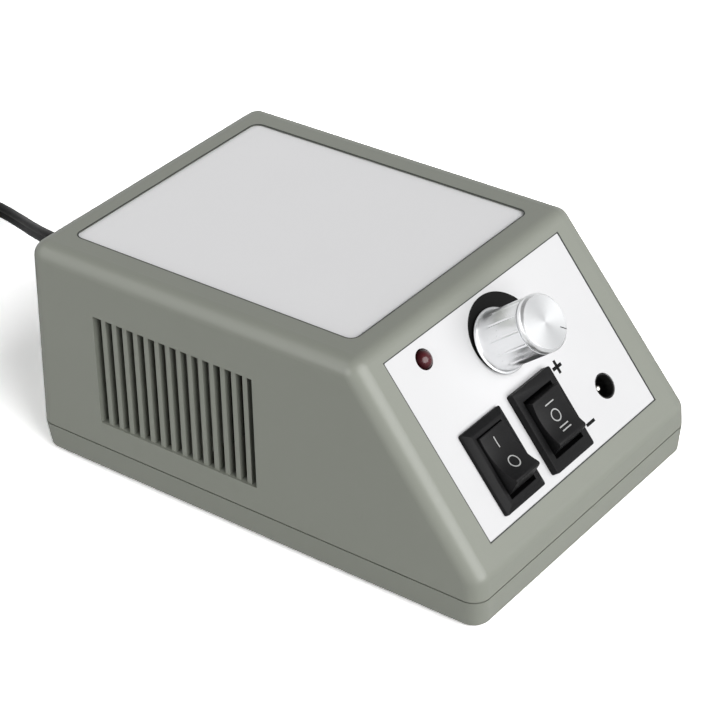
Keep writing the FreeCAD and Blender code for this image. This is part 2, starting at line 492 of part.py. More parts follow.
# Rocker switches, built about the pivot and stood on the slope
def rocker_switch(tag, top_profile, bevelled, rest_tilt, contact_rest, terminal_sides, poles):
    u = f"{tag}_u"
    opening = [f"{tag}_opening_width", f"{tag}_opening_length"]
    base = panel_box(tag + "_block", "switch_width", "switch_length", f"switch_depth + {LABEL_FACE}",
                     u, "switch_v", "-switch_depth")
    if bevelled:
        flange = panel_box(tag + "_flange", "bezel_width", "bezel_length", "bezel_edge",
                           u, "switch_v", LABEL_FACE)
        slope = doc.addObject("Part::Wedge", tag + "_bevel")
        bind(slope, Ymin=0, Ymax="bezel_height - bezel_edge",
             Xmin="-bezel_width / 2", Xmax="bezel_width / 2",
             Zmin="-bezel_length / 2", Zmax="bezel_length / 2",
             X2min=f"-{opening[0]} / 2 - bevel_lip", X2max=f"{opening[0]} / 2 + bevel_lip",
             Z2min=f"-{opening[1]} / 2 - bevel_lip", Z2max=f"{opening[1]} / 2 + bevel_lip")
        on_panel(slope, u, "switch_v", f"{LABEL_FACE} + bezel_edge")
        bind(slope, Placement__Rotation__Angle="slope_angle + 90")
        frame_parts = [base, flange, slope]
    else:
        frame_parts = [base, panel_box(tag + "_flange", "bezel_width", "bezel_length", "bezel_height",
                                       u, "switch_v", LABEL_FACE)]
    well = panel_box(tag + "_well", *opening, "switch_depth + 2 * bezel_height", u, "switch_v",
                     "switch_floor - switch_depth")
    pivot_depth = "-rocker_pivot_depth"
    half_pin = f"({opening[0]} / 2 + trunnion_length)"
    holes = doc.addObject("Part::Cylinder", tag + "_pivot_holes")
    bind(holes, Radius="trunnion_radius + trunnion_fit", Height=f"2 * {half_pin} + 4 * trunnion_fit")
    holes.Placement = Placement(Vector(0, 0, 0), Rotation(Y_AXIS, 90))
    place(holes, f"{u} - {half_pin} - 2 * trunnion_fit", panel_point("switch_v", pivot_depth)[0],
          panel_point("switch_v", pivot_depth)[1])

    contact_pivot = "(rocker_pivot_depth + contact_drop + contact_thick)"
    end_top = f"-{contact_pivot} - (blade_offset + blade_thick / 2) * sin(contact_tilt) - contact_gap"
    tops = {0: f"-{contact_pivot} - contact_gap", -1: end_top, 1: end_top}

    def blade(name, pole, side, fit):
        return panel_box(name, f"blade_width + {fit}", f"blade_thick + {fit}",
                         f"blade_reach + ({tops[side]})", f"{u} + {pole}",
                         f"switch_v + {side} * blade_offset", "-blade_reach")

    blade_places = [(pole, side) for pole in poles for side in terminal_sides]
    slots = [blade(f"{tag}_blade_slot_{number}", *place_of, "blade_fit")
             for number, place_of in enumerate(blade_places)]
    frame = fuse(tag + "_frame", *frame_parts)
    keep(tag + "_switch_body", cut(tag + "_switch_cut", frame, well, holes, *slots))
    blades = [blade(f"{tag}_blade_{number}", *place_of, 0) for number, place_of in enumerate(blade_places)]
    keep(tag + "_terminals", group(tag + "_blades", *blades))

    cap = padded_body(tag + "_cap", "YZ_Plane", top_profile, f"{opening[0]} - 2 * rocker_side_gap")
    pins = cylinder(tag + "_pins", "trunnion_radius", f"2 * {half_pin}", f"-{half_pin}", 0, 0, "x")
    bosses = [cylinder(f"{tag}_boss_{number}", "boss_radius", "-boss_bottom", pole, 0, "boss_bottom")
              for number, pole in enumerate(poles)]
    bores = [cylinder(f"{tag}_bore_{number}", "spring_bore", "spring_bore_depth + overcut", pole, 0,
                      "boss_bottom - overcut") for number, pole in enumerate(poles)]
    rocker = cut(tag + "_rocker_cut", fuse(tag + "_rocker_solid", cap, pins, *bosses), *bores)
    bore_top = "(boss_bottom + spring_bore_depth)"
    plunger_top = "(boss_bottom + plunger_seat)"
    pushers = []
    springs = []
    levers = []
    for number, pole in enumerate(poles):
        stem = cylinder(f"{tag}_pusher_stem_{number}", "plunger_radius",
                        f"{plunger_top} - plunger_tip - plunger_radius", pole, 0,
                        "plunger_tip + plunger_radius")
        tip = ball(f"{tag}_pusher_tip_{number}", "plunger_radius", pole, "plunger_tip + plunger_radius")
        pushers.append(fuse(f"{tag}_pusher_{number}", stem, tip))
        sleeve = cylinder(f"{tag}_spring_outer_{number}", "plunger_radius",
                          f"{bore_top} - {plunger_top}", pole, 0, plunger_top)
        core = cylinder(f"{tag}_spring_inner_{number}", "plunger_radius / 2", "spring_bore_depth",
                        pole, 0, plunger_top)
        springs.append(cut(f"{tag}_spring_{number}", sleeve, core))
        strip = box(f"{tag}_strip_{number}", "contact_width", "contact_length", "contact_thick", pole)
        wipers = [box(f"{tag}_wiper_{number}_{side}", "contact_width", "contact_thick",
                      "2 * contact_thick", pole, f"{side} * (contact_length - contact_thick) / 2", 0)
                  for side in (-1, 1)]
        levers.append(fuse(f"{tag}_lever_{number}", strip, *wipers))
    tilting = {"rocker": rocker, "plunger": group(tag + "_pushers", *pushers),
               "spring": group(tag + "_springs", *springs)}
    for name, obj in tilting.items():
        on_panel(obj, u, "switch_v", pivot_depth)
        bind(obj, Placement__Rotation__Angle=f"slope_angle + ({rest_tilt})")
        keep(f"{tag}_{name}", obj)
    contact = group(tag + "_levers", *levers)
    on_panel(contact, u, "switch_v", f"-{contact_pivot}")
    bind(contact, Placement__Rotation__Angle=f"slope_angle + ({contact_rest})")
    keep(tag + "_contact", contact)


def rocker_profile(tag):
    """A rocker's side view: flanks widest at the waist, and a top dished between two tips."""
    foot = ("rocker_foot", "-rocker_sink")
    waist = (f"{tag}_reach", f"{tag}_waist")
    tip = (f"{tag}_tip", f"{tag}_rise")
    crown = (f"{tag}_crown_half", f"{tag}_crown")
    right = [foot, waist, tip, crown]
    left = [(f"-{across}", height) for across, height in reversed(right)]
    return [*right, (0, f"{tag}_dip"), *left]


def switches():
    rocker_switch("power", rocker_profile("power"), True, "-power_tilt", "contact_tilt", (0, -1), ("0",))
    rocker_switch("polarity", rocker_profile("polarity"), False, "-polarity_tilt", "contact_tilt",
                  (0, -1, 1), ("-pole_offset", "pole_offset"))


# Speed control: a potentiometer clamped behind the wall by its nut, and the knob on its shaft
def panel_turned(name, corners, u, v):
    return on_panel(turned_body(name, corners), u, v)


def tube_corners(outer, inner, bottom, top):
    return [(inner, bottom), (outer, bottom), (outer, top), (inner, top)]


def speed_control():
    place_on_panel = ("knob_u", "knob_v")
    plate_back = f"({INNER_FACE} - pot_plate_thick)"
    wafer_back = f"({plate_back} - pot_wafer_thick)"
    case_back = f"({wafer_back} - pot_case_depth)"
    shaft_bore = "shaft_radius + shaft_fit"
    tail_bore = "shaft_tail_radius + shaft_fit"
    keep("pot_bushing", panel_turned("bushing_turned", [
        (shaft_bore, plate_back), ("pot_radius", plate_back), ("pot_radius", INNER_FACE),
        ("bushing_radius", INNER_FACE), ("bushing_radius", "bushing_top"), (shaft_bore, "bushing_top"),
    ], *place_on_panel))
    disc = panel_cylinder("wafer_disc", "pot_radius", "pot_wafer_thick", *place_on_panel, wafer_back)
    tab = panel_box("wafer_tab", "pot_radius + pot_tab", "2 * pot_tab_half", "pot_wafer_thick",
                    "knob_u + (pot_radius + pot_tab) / 2", "knob_v", wafer_back)
    hole = panel_cylinder("wafer_hole", tail_bore, "2 * pot_wafer_thick", *place_on_panel,
                          f"{wafer_back} - pot_wafer_thick / 2")
    keep("pot_wafer", cut("wafer_cut", fuse("wafer_blank", disc, tab), hole))
    terminals = [panel_box(f"pot_terminal_{row}", "pot_terminal", "pot_terminal_width", "pot_case_wall",
                           "knob_u + pot_radius + pot_tab + pot_terminal / 2",
                           f"knob_v + {row} * pot_terminal_step", f"{wafer_back} + pot_case_wall")
                 for row in (-1, 0, 1)]
    keep("pot_terminals", group("pot_terminal_set", *terminals))
    inside = "pot_radius - pot_case_wall"
    keep("pot_case", panel_turned("case_turned", [
        (0, case_back), ("pot_radius", case_back), ("pot_radius", wafer_back), (inside, wafer_back),
        (inside, f"{case_back} + pot_case_wall"), (0, f"{case_back} + pot_case_wall"),
    ], *place_on_panel))
    wiper_top = f"({wafer_back} - pot_case_wall)"
    dial = panel_turned("wiper_turned", tube_corners(
        "pot_radius - 2 * pot_case_wall", "shaft_tail_radius + shaft_fit / 2",
        f"{wiper_top} - pot_case_wall", wiper_top), *place_on_panel)
    brush = panel_cylinder("wiper_brush", "pot_case_wall", "2 * pot_case_wall - shaft_fit", "knob_u",
                           "knob_v - pot_radius / 2", f"{wiper_top} - pot_case_wall")
    keep("pot_wiper", fuse("wiper_fused", dial, brush))
    shoulder = f"({plate_back} + shaft_fit)"
    keep("pot_shaft", panel_turned("shaft_turned", [
        (0, f"{case_back} + 2 * pot_case_wall"), ("shaft_tail_radius", f"{case_back} + 2 * pot_case_wall"),
        ("shaft_tail_radius", shoulder), ("shaft_radius", shoulder), ("shaft_radius", "shaft_top"),
        (0, "shaft_top"),
    ], *place_on_panel))
    thread = "bushing_radius + thread_fit"
    washer_top = f"({LABEL_FACE} + washer_thick)"
    keep("pot_washer", panel_turned("washer_turned", tube_corners("washer_radius", thread, LABEL_FACE,
                                                                  washer_top), *place_on_panel))
    nut = doc.addObject("Part::Prism", "nut_hexagon")
    nut.Polygon = 6
    bind(nut, Circumradius="nut_across / 2 / cos(30)", Height="nut_thick")
    on_panel(nut, *place_on_panel, washer_top)
    nut_bore = panel_cylinder("nut_bore", thread, "2 * nut_thick", *place_on_panel,
                              f"{washer_top} - nut_thick / 2")
    keep("pot_nut", cut("nut_cut", nut, nut_bore))


def knob():
    place_on_panel = ("knob_u", "knob_v")
    skirt = f"({LABEL_FACE} + knob_gap)"
    collar = f"({skirt} + skirt_thick)"
    grip = f"({collar} + collar_height)"
    top = f"({LABEL_FACE} + knob_top)"
    rim = f"({top} - rim_height)"
    groove = f"({rim} - groove_height)"
    roof = f"({top} - knob_roof)"
    shell = panel_turned("knob_turned", [
        ("knob_shell_radius", skirt), ("skirt_radius", skirt), ("skirt_radius", collar),
        ("collar_radius", collar), ("knob_radius", grip), ("knob_radius", groove),
        ("groove_radius", groove), ("groove_radius", rim), ("rim_radius", rim),
        ("rim_radius", f"{top} - rim_chamfer"), ("rim_radius - rim_chamfer", top), (0, top), (0, roof),
        ("knob_shell_radius", roof),
    ], *place_on_panel)
    count = int(size_of("knob_line_count"))
    lines = []
    for number in range(count):
        angle = f"({number} + 0.5) * 360 / {count}"
        line = box(f"knob_line_{number}", "knob_line_width", "knob_line_width", f"{groove} - {grip}",
                   f"(knob_radius - knob_line_depth + knob_line_width / 2) * cos({angle})",
                   f"(knob_radius - knob_line_depth + knob_line_width / 2) * sin({angle})",
                   grip)
        lines.append(line)
    ring = on_panel(group("knob_lines", *lines), *place_on_panel)
    notch = box("pointer_notch", "2 * pointer_length", "pointer_width", "2 * pointer_depth",
                "rim_radius", 0, "-pointer_depth")
    notch_turned = turn(group("pointer_turned", notch), Z_AXIS, "pointer_rest")
    pointer = on_panel(group("pointer_placed", notch_turned), *place_on_panel, top)
    keep("speed_knob", cut("knob_cut", shell, ring, pointer))
    bore = "shaft_radius + shaft_fit"
    hub = "knob_shell_radius - shaft_fit"
    keep("knob_insert", panel_turned("insert_turned", [
        (bore, "knob_cavity_top"), (hub, "knob_cavity_top"), (hub, roof), (0, roof),
        (0, "shaft_top + shaft_fit"), (bore, "shaft_top + shaft_fit"),
    ], *place_on_panel))


# Power lamp and output socket behind their holes in the panel
def power_lamp():
    base = f"({INNER_FACE} - led_flange_thick)"
    flange = panel_cylinder("led_flange", "led_flange_radius", "led_flange_thick", LED_U, LED_V, base)
    barrel = panel_cylinder("led_barrel", "led_radius", f"led_top - led_radius - {base}", LED_U, LED_V,
                            base)
    dome = doc.addObject("Part::Sphere", "led_dome")
    bind(dome, Radius="led_radius")
    on_panel(dome, LED_U, LED_V, "led_top - led_radius")
    keep("led_lens", fuse("led_fused", flange, barrel, dome))
    leads = [panel_box(f"led_lead_{side}", "led_lead_thick", "led_lead_thick", "led_lead_length",
                       f"{LED_U} + {side} * led_lead_spread / 2", LED_V, f"{base} - led_lead_length")
             for side in (-1, 1)]
    keep("led_leads", group("led_lead_pair", *leads))


JACK_BACK = f"({INNER_FACE} - jack_depth)"
LEAF_V = "(jack_v - jack_bore - jack_leaf_gap - jack_leaf / 2)"


def output_jack():
    axis = (JACK_U, "jack_v")
    floor = f"({INNER_FACE} - jack_bore_depth)"
    block = panel_box("jack_block", "jack_width", "jack_height", "jack_depth", *axis, JACK_BACK)
    bore = panel_cylinder("jack_bore_hole", "jack_bore", "jack_bore_depth + overcut", *axis, floor)
    pin_hole = panel_cylinder("jack_pin_hole", "jack_pin_radius + shaft_fit", "jack_depth", *axis,
                              f"{JACK_BACK} - overcut")
    leaf_fit = "2 * jack_leaf_gap"
    leaf_slot = panel_box("jack_leaf_slot", f"jack_blade_width + {leaf_fit}",
                          "jack_leaf + 4 * jack_leaf_gap", "jack_depth - jack_leaf + overcut", JACK_U,
                          f"{LEAF_V} + jack_leaf_gap", f"{JACK_BACK} - overcut")
    keep("jack_body", cut("jack_cut", block, bore, pin_hole, leaf_slot))
    pin = panel_cylinder("jack_pin_round", "jack_pin_radius",
                         f"{INNER_FACE} - jack_pin_tip - {JACK_BACK}", *axis, JACK_BACK)
    tail = panel_box("jack_pin_tail", "jack_blade_width", "jack_leaf", "jack_blade", *axis,
                     f"{JACK_BACK} - jack_blade")
    keep("jack_pin", fuse("jack_pin_fused", pin, tail))
    leaf = panel_box("jack_leaf_strip", "jack_blade_width", "jack_leaf",
                     "jack_depth + jack_blade - 2 * jack_leaf", JACK_U, LEAF_V,
                     f"{JACK_BACK} - jack_blade")
    keep("jack_contact", leaf)


# Mains transformer on the tray, held down by a strap over its core
CORE_TOP = "(core_bottom + core_height)"
BOBBIN_INNER = "(core_leg + bobbin_fit)"


def frame_ring(name, outer, inner, height, bottom):
    """A rectangular ring round the middle leg; outer and inner are half widths across it."""
    block = box(name + "_outer", f"2 * ({outer})", f"2 * (({outer}) + {STACK_GROWTH})", height, 0,
                "core_y", bottom)
    hole = box(name + "_inner", f"2 * ({inner})", f"2 * (({inner}) + {STACK_GROWTH})",
               f"({height}) + 2 * overcut", 0, "core_y", f"({bottom}) - overcut")
    return cut(name, block, hole)


def transformer():
    core = box("core_block", "core_width", "core_stack", "core_height", 0, "core_y", "core_bottom")
    windows = [box(f"core_window_{side}", "core_width / 2 - 2 * core_leg", "2 * core_stack",
                   "core_height - 2 * core_leg", f"{side} * core_width / 4", "core_y",
                   "core_bottom + core_leg") for side in (-1, 1)]
    keep("transformer_core", cut("core_cut", core, *windows))
    bottom = "(core_bottom + core_leg + bobbin_fit)"
    height = "(core_height - 2 * core_leg - 2 * bobbin_fit)"
    room = f"(({height} - 3 * bobbin_wall) / 2)"
    sleeve = frame_ring("bobbin_sleeve", f"{BOBBIN_INNER} + bobbin_wall", BOBBIN_INNER, height, bottom)
    flanges = [frame_ring(f"bobbin_flange_{level}", f"{WINDING_OUTER} + flange_rise", BOBBIN_INNER,
                          "bobbin_wall", f"{bottom} + {level} * ({room} + bobbin_wall)")
               for level in (0, 1, 2)]
    keep("transformer_bobbin", fuse("bobbin_fused", sleeve, *flanges))
    for level, name in enumerate(("primary_winding", "secondary_winding")):
        keep(name, frame_ring(name + "_ring", WINDING_OUTER, f"{BOBBIN_INNER} + bobbin_wall", room,
                              f"{bottom} + bobbin_wall + {level} * ({room} + bobbin_wall)"))
    over = box("strap_over", "core_width + 2 * bracket_thick", "bracket_width", "core_height + bracket_thick",
               0, "core_y", "core_bottom")
    under = box("strap_under", "core_width", "2 * bracket_width", "core_height", 0, "core_y", "core_bottom")
    feet = [box(f"strap_foot_{side}", "bracket_foot + bracket_thick", "bracket_width", "bracket_thick",
                f"{side} * (core_width / 2 + (bracket_foot + bracket_thick) / 2)", "core_y", "core_bottom")
            for side in (-1, 1)]
    holes = [cylinder(f"strap_hole_{side}", "screw_shank + screw_clear", "core_height / 4",
                      f"{side} * bracket_hole_x", "core_y", "core_bottom - overcut") for side in (-1, 1)]
    strap = fuse("strap_fused", cut("strap_hoop", over, under), *feet)
    keep("transformer_bracket", cut("strap_cut", strap, *holes))
    screws = [small_screw(f"bracket_screw_{side}", "screw_head", "screw_head_height", "screw_shank",
                          "bracket_screw_length", f"{side} * bracket_hole_x", "core_y",
                          "core_bottom + bracket_thick") for side in (-1, 1)]
    keep("machine_screws", group("machine_screw_set", *screws, regulator_screw()))
    keep("thermal_fuse", cylinder("thermal_fuse_body", "fuse_link_radius", "fuse_link_length",
                                  "fuse_link_x - fuse_link_length / 2", FUSE_LINK_Y, FUSE_LINK_Z, "x"))


FUSE_LINK_Y = f"({WINDING_FACE} - fuse_link_gap - fuse_link_radius)"
FUSE_LINK_Z = "(core_bottom + core_height / 2 - core_leg + fuse_link_rise)"
CONNECTOR_TOP = f"({BOARD_TOP} + connector_height)"
FRONT_ROW = f"({BOARD_FRONT} + connector_margin + connector_depth / 2)"
BACK_ROW = f"({BOARD_FRONT} + board_length - connector_margin - connector_depth / 2)"
CONNECTORS = [*[(f"{column} * connector_step", FRONT_ROW) for column in (-1, 0, 1)],
              ("output_connector_x", BACK_ROW), ("mains_connector_x", BACK_ROW)]
SINK_FRONT = f"({BOARD_FRONT} + sink_back)"
FOUR_IN_A_ROW = (-1.5, -0.5, 0.5, 1.5)


def straight_part(name, radius, length, x, y):
    """A small axial part lying along Y, whose leads bend down onto the board."""
    height = f"{BOARD_TOP} + ({radius}) + part_lift"
    reach = f"(({length}) / 2 + lead_stub)"
    barrel = cylinder(name + "_barrel", radius, length, x, f"({y}) - ({length}) / 2", height, "y")
    wire = cylinder(name + "_wire", "lead_radius", f"2 * ({reach} + lead_radius)", x,
                    f"({y}) - {reach} - lead_radius", height, "y")
    legs = [cylinder(f"{name}_leg_{side}", "leg_radius", f"({radius}) + part_lift", x,
                     f"({y}) + {side} * ({reach})", BOARD_TOP) for side in (-1, 1)]
    return fuse(name, barrel, wire, *legs)


REGULATOR_SCREW_Z = f"({BOARD_TOP} + regulator_lift + regulator_tall - regulator_hole)"


def regulator_screw():
    face = f"({SINK_FRONT} - regulator_tab)"
    head = cylinder("regulator_screw_head", "screw_head", "screw_head_height", "sink_x",
                    f"{face} - screw_head_height", REGULATOR_SCREW_Z, "y")
    stem = cylinder("regulator_screw_stem", "screw_shank", "bracket_screw_length + screw_head_height / 2",
                    "sink_x", f"{face} - screw_head_height / 2", REGULATOR_SCREW_Z, "y")
    return fuse("regulator_screw", head, stem)


# Circuit board with its rectifier, filter and speed regulator
def circuit_board():
    slab = box("board_slab", "board_width", "board_length", "board_thick", 0, BOARD_Y, "board_bottom")
    holes = [cylinder(f"board_hole_{number}", "board_screw_radius + screw_clear", "3 * board_thick", x, y,
                      "board_bottom - board_thick") for number, (x, y) in enumerate(BOARD_HOLES)]
    keep("circuit_board", cut("board_cut", slab, *holes))
    screws = [small_screw(f"board_screw_{number}", "board_screw_head", "board_thick", "board_screw_radius",
                          "board_screw_length", x, y, BOARD_TOP)
              for number, (x, y) in enumerate(BOARD_HOLES)]
    keep("board_screws", group("board_screw_set", *screws))
    keep("filter_capacitor", cylinder("capacitor_can", "capacitor_radius", "capacitor_height",
                                      "capacitor_x", f"{BOARD_FRONT} + capacitor_back", BOARD_TOP))
    diodes = [straight_part(f"diode_{number}", "diode_radius", "diode_length",
                            f"diode_x + {column} * diode_step", f"{BOARD_FRONT} + diode_back")
              for number, column in enumerate(FOUR_IN_A_ROW)]
    keep("rectifier_diodes", group("diode_set", *diodes))
    resistors = [straight_part(f"resistor_{number}", "resistor_radius", "resistor_length",
                               f"resistor_x + {column} * resistor_step", f"{BOARD_FRONT} + resistor_back")
                 for number, column in enumerate(FOUR_IN_A_ROW)]
    keep("board_resistors", group("resistor_set", *resistors))
    fuse_axis = f"({BOARD_TOP} + clip_lift + fuse_radius)"
    fuse_y = f"({BOARD_FRONT} + fuse_back)"
    keep("glass_fuse", cylinder("fuse_body", "fuse_radius", "fuse_length", "fuse_x",
                                f"{fuse_y} - fuse_length / 2", fuse_axis, "y"))
    clips = [box(f"clip_block_{side}", "clip_width", "fuse_cap", "clip_lift + 1.5 * fuse_radius", "fuse_x",
                 f"{fuse_y} + {side} * (fuse_length - fuse_cap) / 2", BOARD_TOP) for side in (-1, 1)]
    seat = cylinder("clip_seat", "fuse_radius", "2 * fuse_length", "fuse_x", f"{fuse_y} - fuse_length",
                    fuse_axis, "y")
    keep("fuse_clips", cut("clip_cut", group("clip_pair", *clips), seat))
    sink_middle = f"({SINK_FRONT} + sink_base / 2)"
    plate = box("sink_plate", "sink_width", "sink_base", "sink_height", "sink_x", sink_middle, BOARD_TOP)
    count = int(size_of("sink_fin_count"))
    fins = [box(f"sink_fin_{number}", "sink_fin", "sink_depth - sink_base / 2", "sink_height",
                f"sink_x + (sink_width - sink_fin) * ({number} / {count - 1} - 0.5)",
                f"{sink_middle} + (sink_depth - sink_base / 2) / 2", BOARD_TOP) for number in range(count)]
    sink_bore = cylinder("sink_bore", "post_bore", "2 * sink_base", "sink_x", f"{SINK_FRONT} - sink_base / 2",
                         REGULATOR_SCREW_Z, "y")
    keep("heat_sink", cut("sink_cut", fuse("sink_fused", plate, *fins), sink_bore))
    lift = f"({BOARD_TOP} + regulator_lift)"
    tab = box("regulator_tab_box", "regulator_width", "regulator_tab", "regulator_tall", "sink_x",
              f"{SINK_FRONT} - regulator_tab / 2", lift)
    case = box("regulator_case", "regulator_width", "regulator_thick - regulator_tab", "regulator_height",
               "sink_x", f"{SINK_FRONT} - (regulator_thick + regulator_tab) / 2", lift)
    legs = [box(f"regulator_leg_{row}", "2 * lead_radius", "lead_radius", "regulator_lift",
                f"sink_x + {row} * led_lead_spread", f"{SINK_FRONT} - regulator_thick / 2", BOARD_TOP)
            for row in (-1, 0, 1)]
    tab_hole = cylinder("regulator_tab_hole", "screw_shank + screw_clear", "2 * regulator_tab", "sink_x",
                        f"{SINK_FRONT} - 1.5 * regulator_tab", REGULATOR_SCREW_Z, "y")
    keep("speed_regulator", cut("regulator_cut", fuse("regulator_fused", tab, case, *legs), tab_hole))
    blocks = [box(f"connector_{number}", "connector_width", "connector_depth", "connector_height", x, y,
                  BOARD_TOP) for number, (x, y) in enumerate(CONNECTORS)]
    keep("board_connectors", group("connector_set", *blocks))


# Insulated leads, cords and their routes
def spot(x, y, z):
    return Vector(*[float(sheet.evalExpression(named(text))) for text in (x, y, z)])


def panel_spot(u, v, depth):
    return spot(u, *panel_point(v, depth))


def route_shape(name, points, radius):
    """A tube along straight runs joined by arcs as large as the two runs allow."""
    edges = []
    radii = []
    start = points[0]
    for before, corner, after in zip(points, points[1:], points[2:]):
        into = (corner - before).normalize()
        out = (after - corner).normalize()
        half_turn = into.getAngle(out) / 2
        setback = 0.45 * min((corner - before).Length, (after - corner).Length)
        radii.append(setback / math.tan(half_turn))
        first = corner - into * setback
        last = corner + out * setback
        inward = (out - into).normalize()
        middle = corner + inward * (radii[-1] / math.cos(half_turn) - radii[-1])
        edges.append(Part.LineSegment(start, first).toShape())
        edges.append(Part.Arc(first, middle, last).toShape())
        start = last
    edges.append(Part.LineSegment(start, points[-1]).toShape())
    return sweep(name, edges, radius, radii)


def sweep(name, edges, radius, radii):
    """A tube along joined edges; prints its length, its bends and how true its volume is."""
    path = Part.Wire(edges)
    heading = edges[0].tangentAt(edges[0].FirstParameter)
    circle = Part.Circle(edges[0].Vertexes[0].Point, heading, radius)
    shape = path.makePipeShell([Part.Wire([circle.toShape()])], True, False)
    whole = math.pi * radius ** 2 * path.Length
    print(f"{name}: length {path.Length:.1f}, radii {min(radii):.1f} to {max(radii):.1f},"
          f" volume {shape.Volume / whole:.4f} of section times length")
    return shape


def feature(name, shape):
    obj = doc.addObject("Part::Feature", name)
    obj.Shape = shape
    return obj


def leads(name, routes):
    wires = [feature(f"{name}_{number}", route_shape(f"{name}_{number}", points, size_of("wire_radius")))
             for number, points in enumerate(routes)]
    return keep(name, group(name + "_set", *wires))


def run(start, heading, stub, middle, end_stub, end_heading, end):
    """A lead that leaves start and meets end straight; stubs are counted in lead runs."""
    unit = size_of("lead_run")
    return [start, start + heading * stub * unit, *middle, end + end_heading * end_stub * unit, end]


def wiring():
    inward = panel_spot(0, 0, -1) - panel_spot(0, 0, 0)
    up = Z_AXIS
    front = Y_AXIS * -1
    right = X_AXIS
    unit = size_of("lead_run")

    def blade_spot(u, side):
        return panel_spot(u, f"switch_v + {side} * blade_offset", "-blade_reach")

    def front_pin(column, side):
        return spot(f"{column} * connector_step + {side} * pin_pitch", f"{BOARD_FRONT} + connector_margin",
                    f"{BOARD_TOP} + connector_height / 2")

    def top_pin(x, row):
        return spot(x, row, CONNECTOR_TOP)

    near = ("pole_offset - wire_pair", "pole_offset + wire_pair")
    lower = [blade_spot(f"-({near[1]})", -1), blade_spot(near[1], -1)]
    crossing = [(blade_spot(f"-({near[0]})", -1), blade_spot("pole_offset", 1), 0.8),
                (blade_spot(near[0], -1), blade_spot("-pole_offset", 1), 1.4)]
    leads("switch_leads", [
        run(blade_spot("power_u", 0), inward, 1, [], 1, front, front_pin(-1, -1)),
        run(blade_spot("power_u", -1), inward, 0.75, [], 1.25, front, front_pin(-1, 1)),
        *[run(start, inward, depth, [], depth, inward, end) for start, end, depth in crossing],
        *[run(blade_spot(f"{side} * pole_offset", 0), inward, 1, [], 0.75, front, front_pin(0, side))
          for side in (-1, 1)],
    ])
    tip = panel_spot(JACK_U, "jack_v", f"{JACK_BACK} - jack_blade")
    leaf = panel_spot(JACK_U, LEAF_V, f"{JACK_BACK} - jack_blade")
    under = [lower[0] + Vector(*offset) * unit
             for offset in ((-0.35, 0.5, -1.25), (1.0, 0.3, -1.75), (4.8, 0.7, -1.7))]
    output_leads = [
        run(lower[1], inward, 0.6, [], 0.75, inward, leaf),
        run(lower[0], inward, 0.5, under, 1.25, inward, tip),
    ]
    pot_rows = [panel_spot("knob_u + pot_radius + pot_tab + pot_terminal",
                           f"knob_v + {row} * pot_terminal_step",
                           f"{INNER_FACE} - pot_plate_thick - pot_wafer_thick + 1.5 * pot_case_wall")
                for row in (-1, 0, 1)]
    control_pins = [top_pin(f"connector_step - {step} * control_pitch", FRONT_ROW) for step in range(-2, 3)]
    pot_leads = [run(start, right, 1, [pin + Vector(0.4, -0.4, 3.5) * unit], 1.5, up, pin)
                 for start, pin in zip(pot_rows, control_pins)]
    lamp_ends = [panel_spot(f"{LED_U} + {side} * led_lead_spread / 2", LED_V,
                            f"{INNER_FACE} - led_flange_thick - led_lead_length") for side in (1, -1)]
    lamp_leads = [run(start, inward, 1.25, [pin + Vector(-1.5, 0.75, 3) * unit], 1.25, up, pin)
                  for start, pin in zip(lamp_ends, control_pins[3:])]
    leads("control_leads", output_leads + pot_leads + lamp_leads)
    secondary_z = "core_bottom + core_height / 2 + core_leg / 2"
    link_right = spot("fuse_link_x + fuse_link_length / 2", FUSE_LINK_Y, FUSE_LINK_Z)
    link_left = spot("fuse_link_x - fuse_link_length / 2", FUSE_LINK_Y, FUSE_LINK_Z)
    beyond = link_left - right * 0.75 * unit
    mains_pins = [top_pin(f"mains_connector_x + {column} * mains_pitch", BACK_ROW)
                  for column in FOUR_IN_A_ROW]
    leads("transformer_leads", [
        *[run(spot(f"-secondary_exit + {side} * pin_pitch", WINDING_FACE, secondary_z), front, 1, [], 1.75,
              up, top_pin(f"output_connector_x + {side} * pin_pitch", BACK_ROW)) for side in (-1, 1)],
        run(spot("primary_exit", WINDING_FACE, FUSE_LINK_Z), front, 0.875, [], 0.875, up, mains_pins[1]),
        run(link_right, right, 0.875, [], 0.85, up, mains_pins[0]),
        [link_left, beyond, Vector(beyond.x, spot(0, WINDING_FACE, 0).y, beyond.z)],
    ])
    entry = spot("cord_x", "body_length / 2 - wall - relief_slack - relief_inside", "cord_z")
    beside = spot("core_width / 2 + 2.25 * lead_run", "core_y", "cord_z")
    around = [entry + Vector(2, -0.85, 0.25) * unit, beside + Vector(-0.5, 4.1, 0.5) * unit,
              beside + Vector(0, 2, 0.75) * unit, beside + Vector(0, -2, 0.75) * unit,
              beside + Vector(-1.25, -4.5, 1.25) * unit, beside + Vector(-4, -5.9, 1.75) * unit]
    leads("mains_leads", [
        run(entry + right * side * size_of("core_pair"), front, 0.6, [point + up * rise * unit
                                                                      for point in around], 1.5, up, pin)
        for side, rise, pin in ((1, 0, mains_pins[3]), (-1, 0.6, mains_pins[2]))])


# Strain relief, mains cord, its put-away coil, tie and plug
CORD_ROUTE = [(12, 92, 17), (12, 103, 17), (15.6, 117.5, 14.3), (22.3, 130.5, 9.6), (28.7, 141.5, 5.4),
              (33.0, 153, 3.4), (34.6, 167, 3.2), (34.6, 181, 3.3), (35.2, 195, 3.2), (35.2, 207.4, 3.2)]


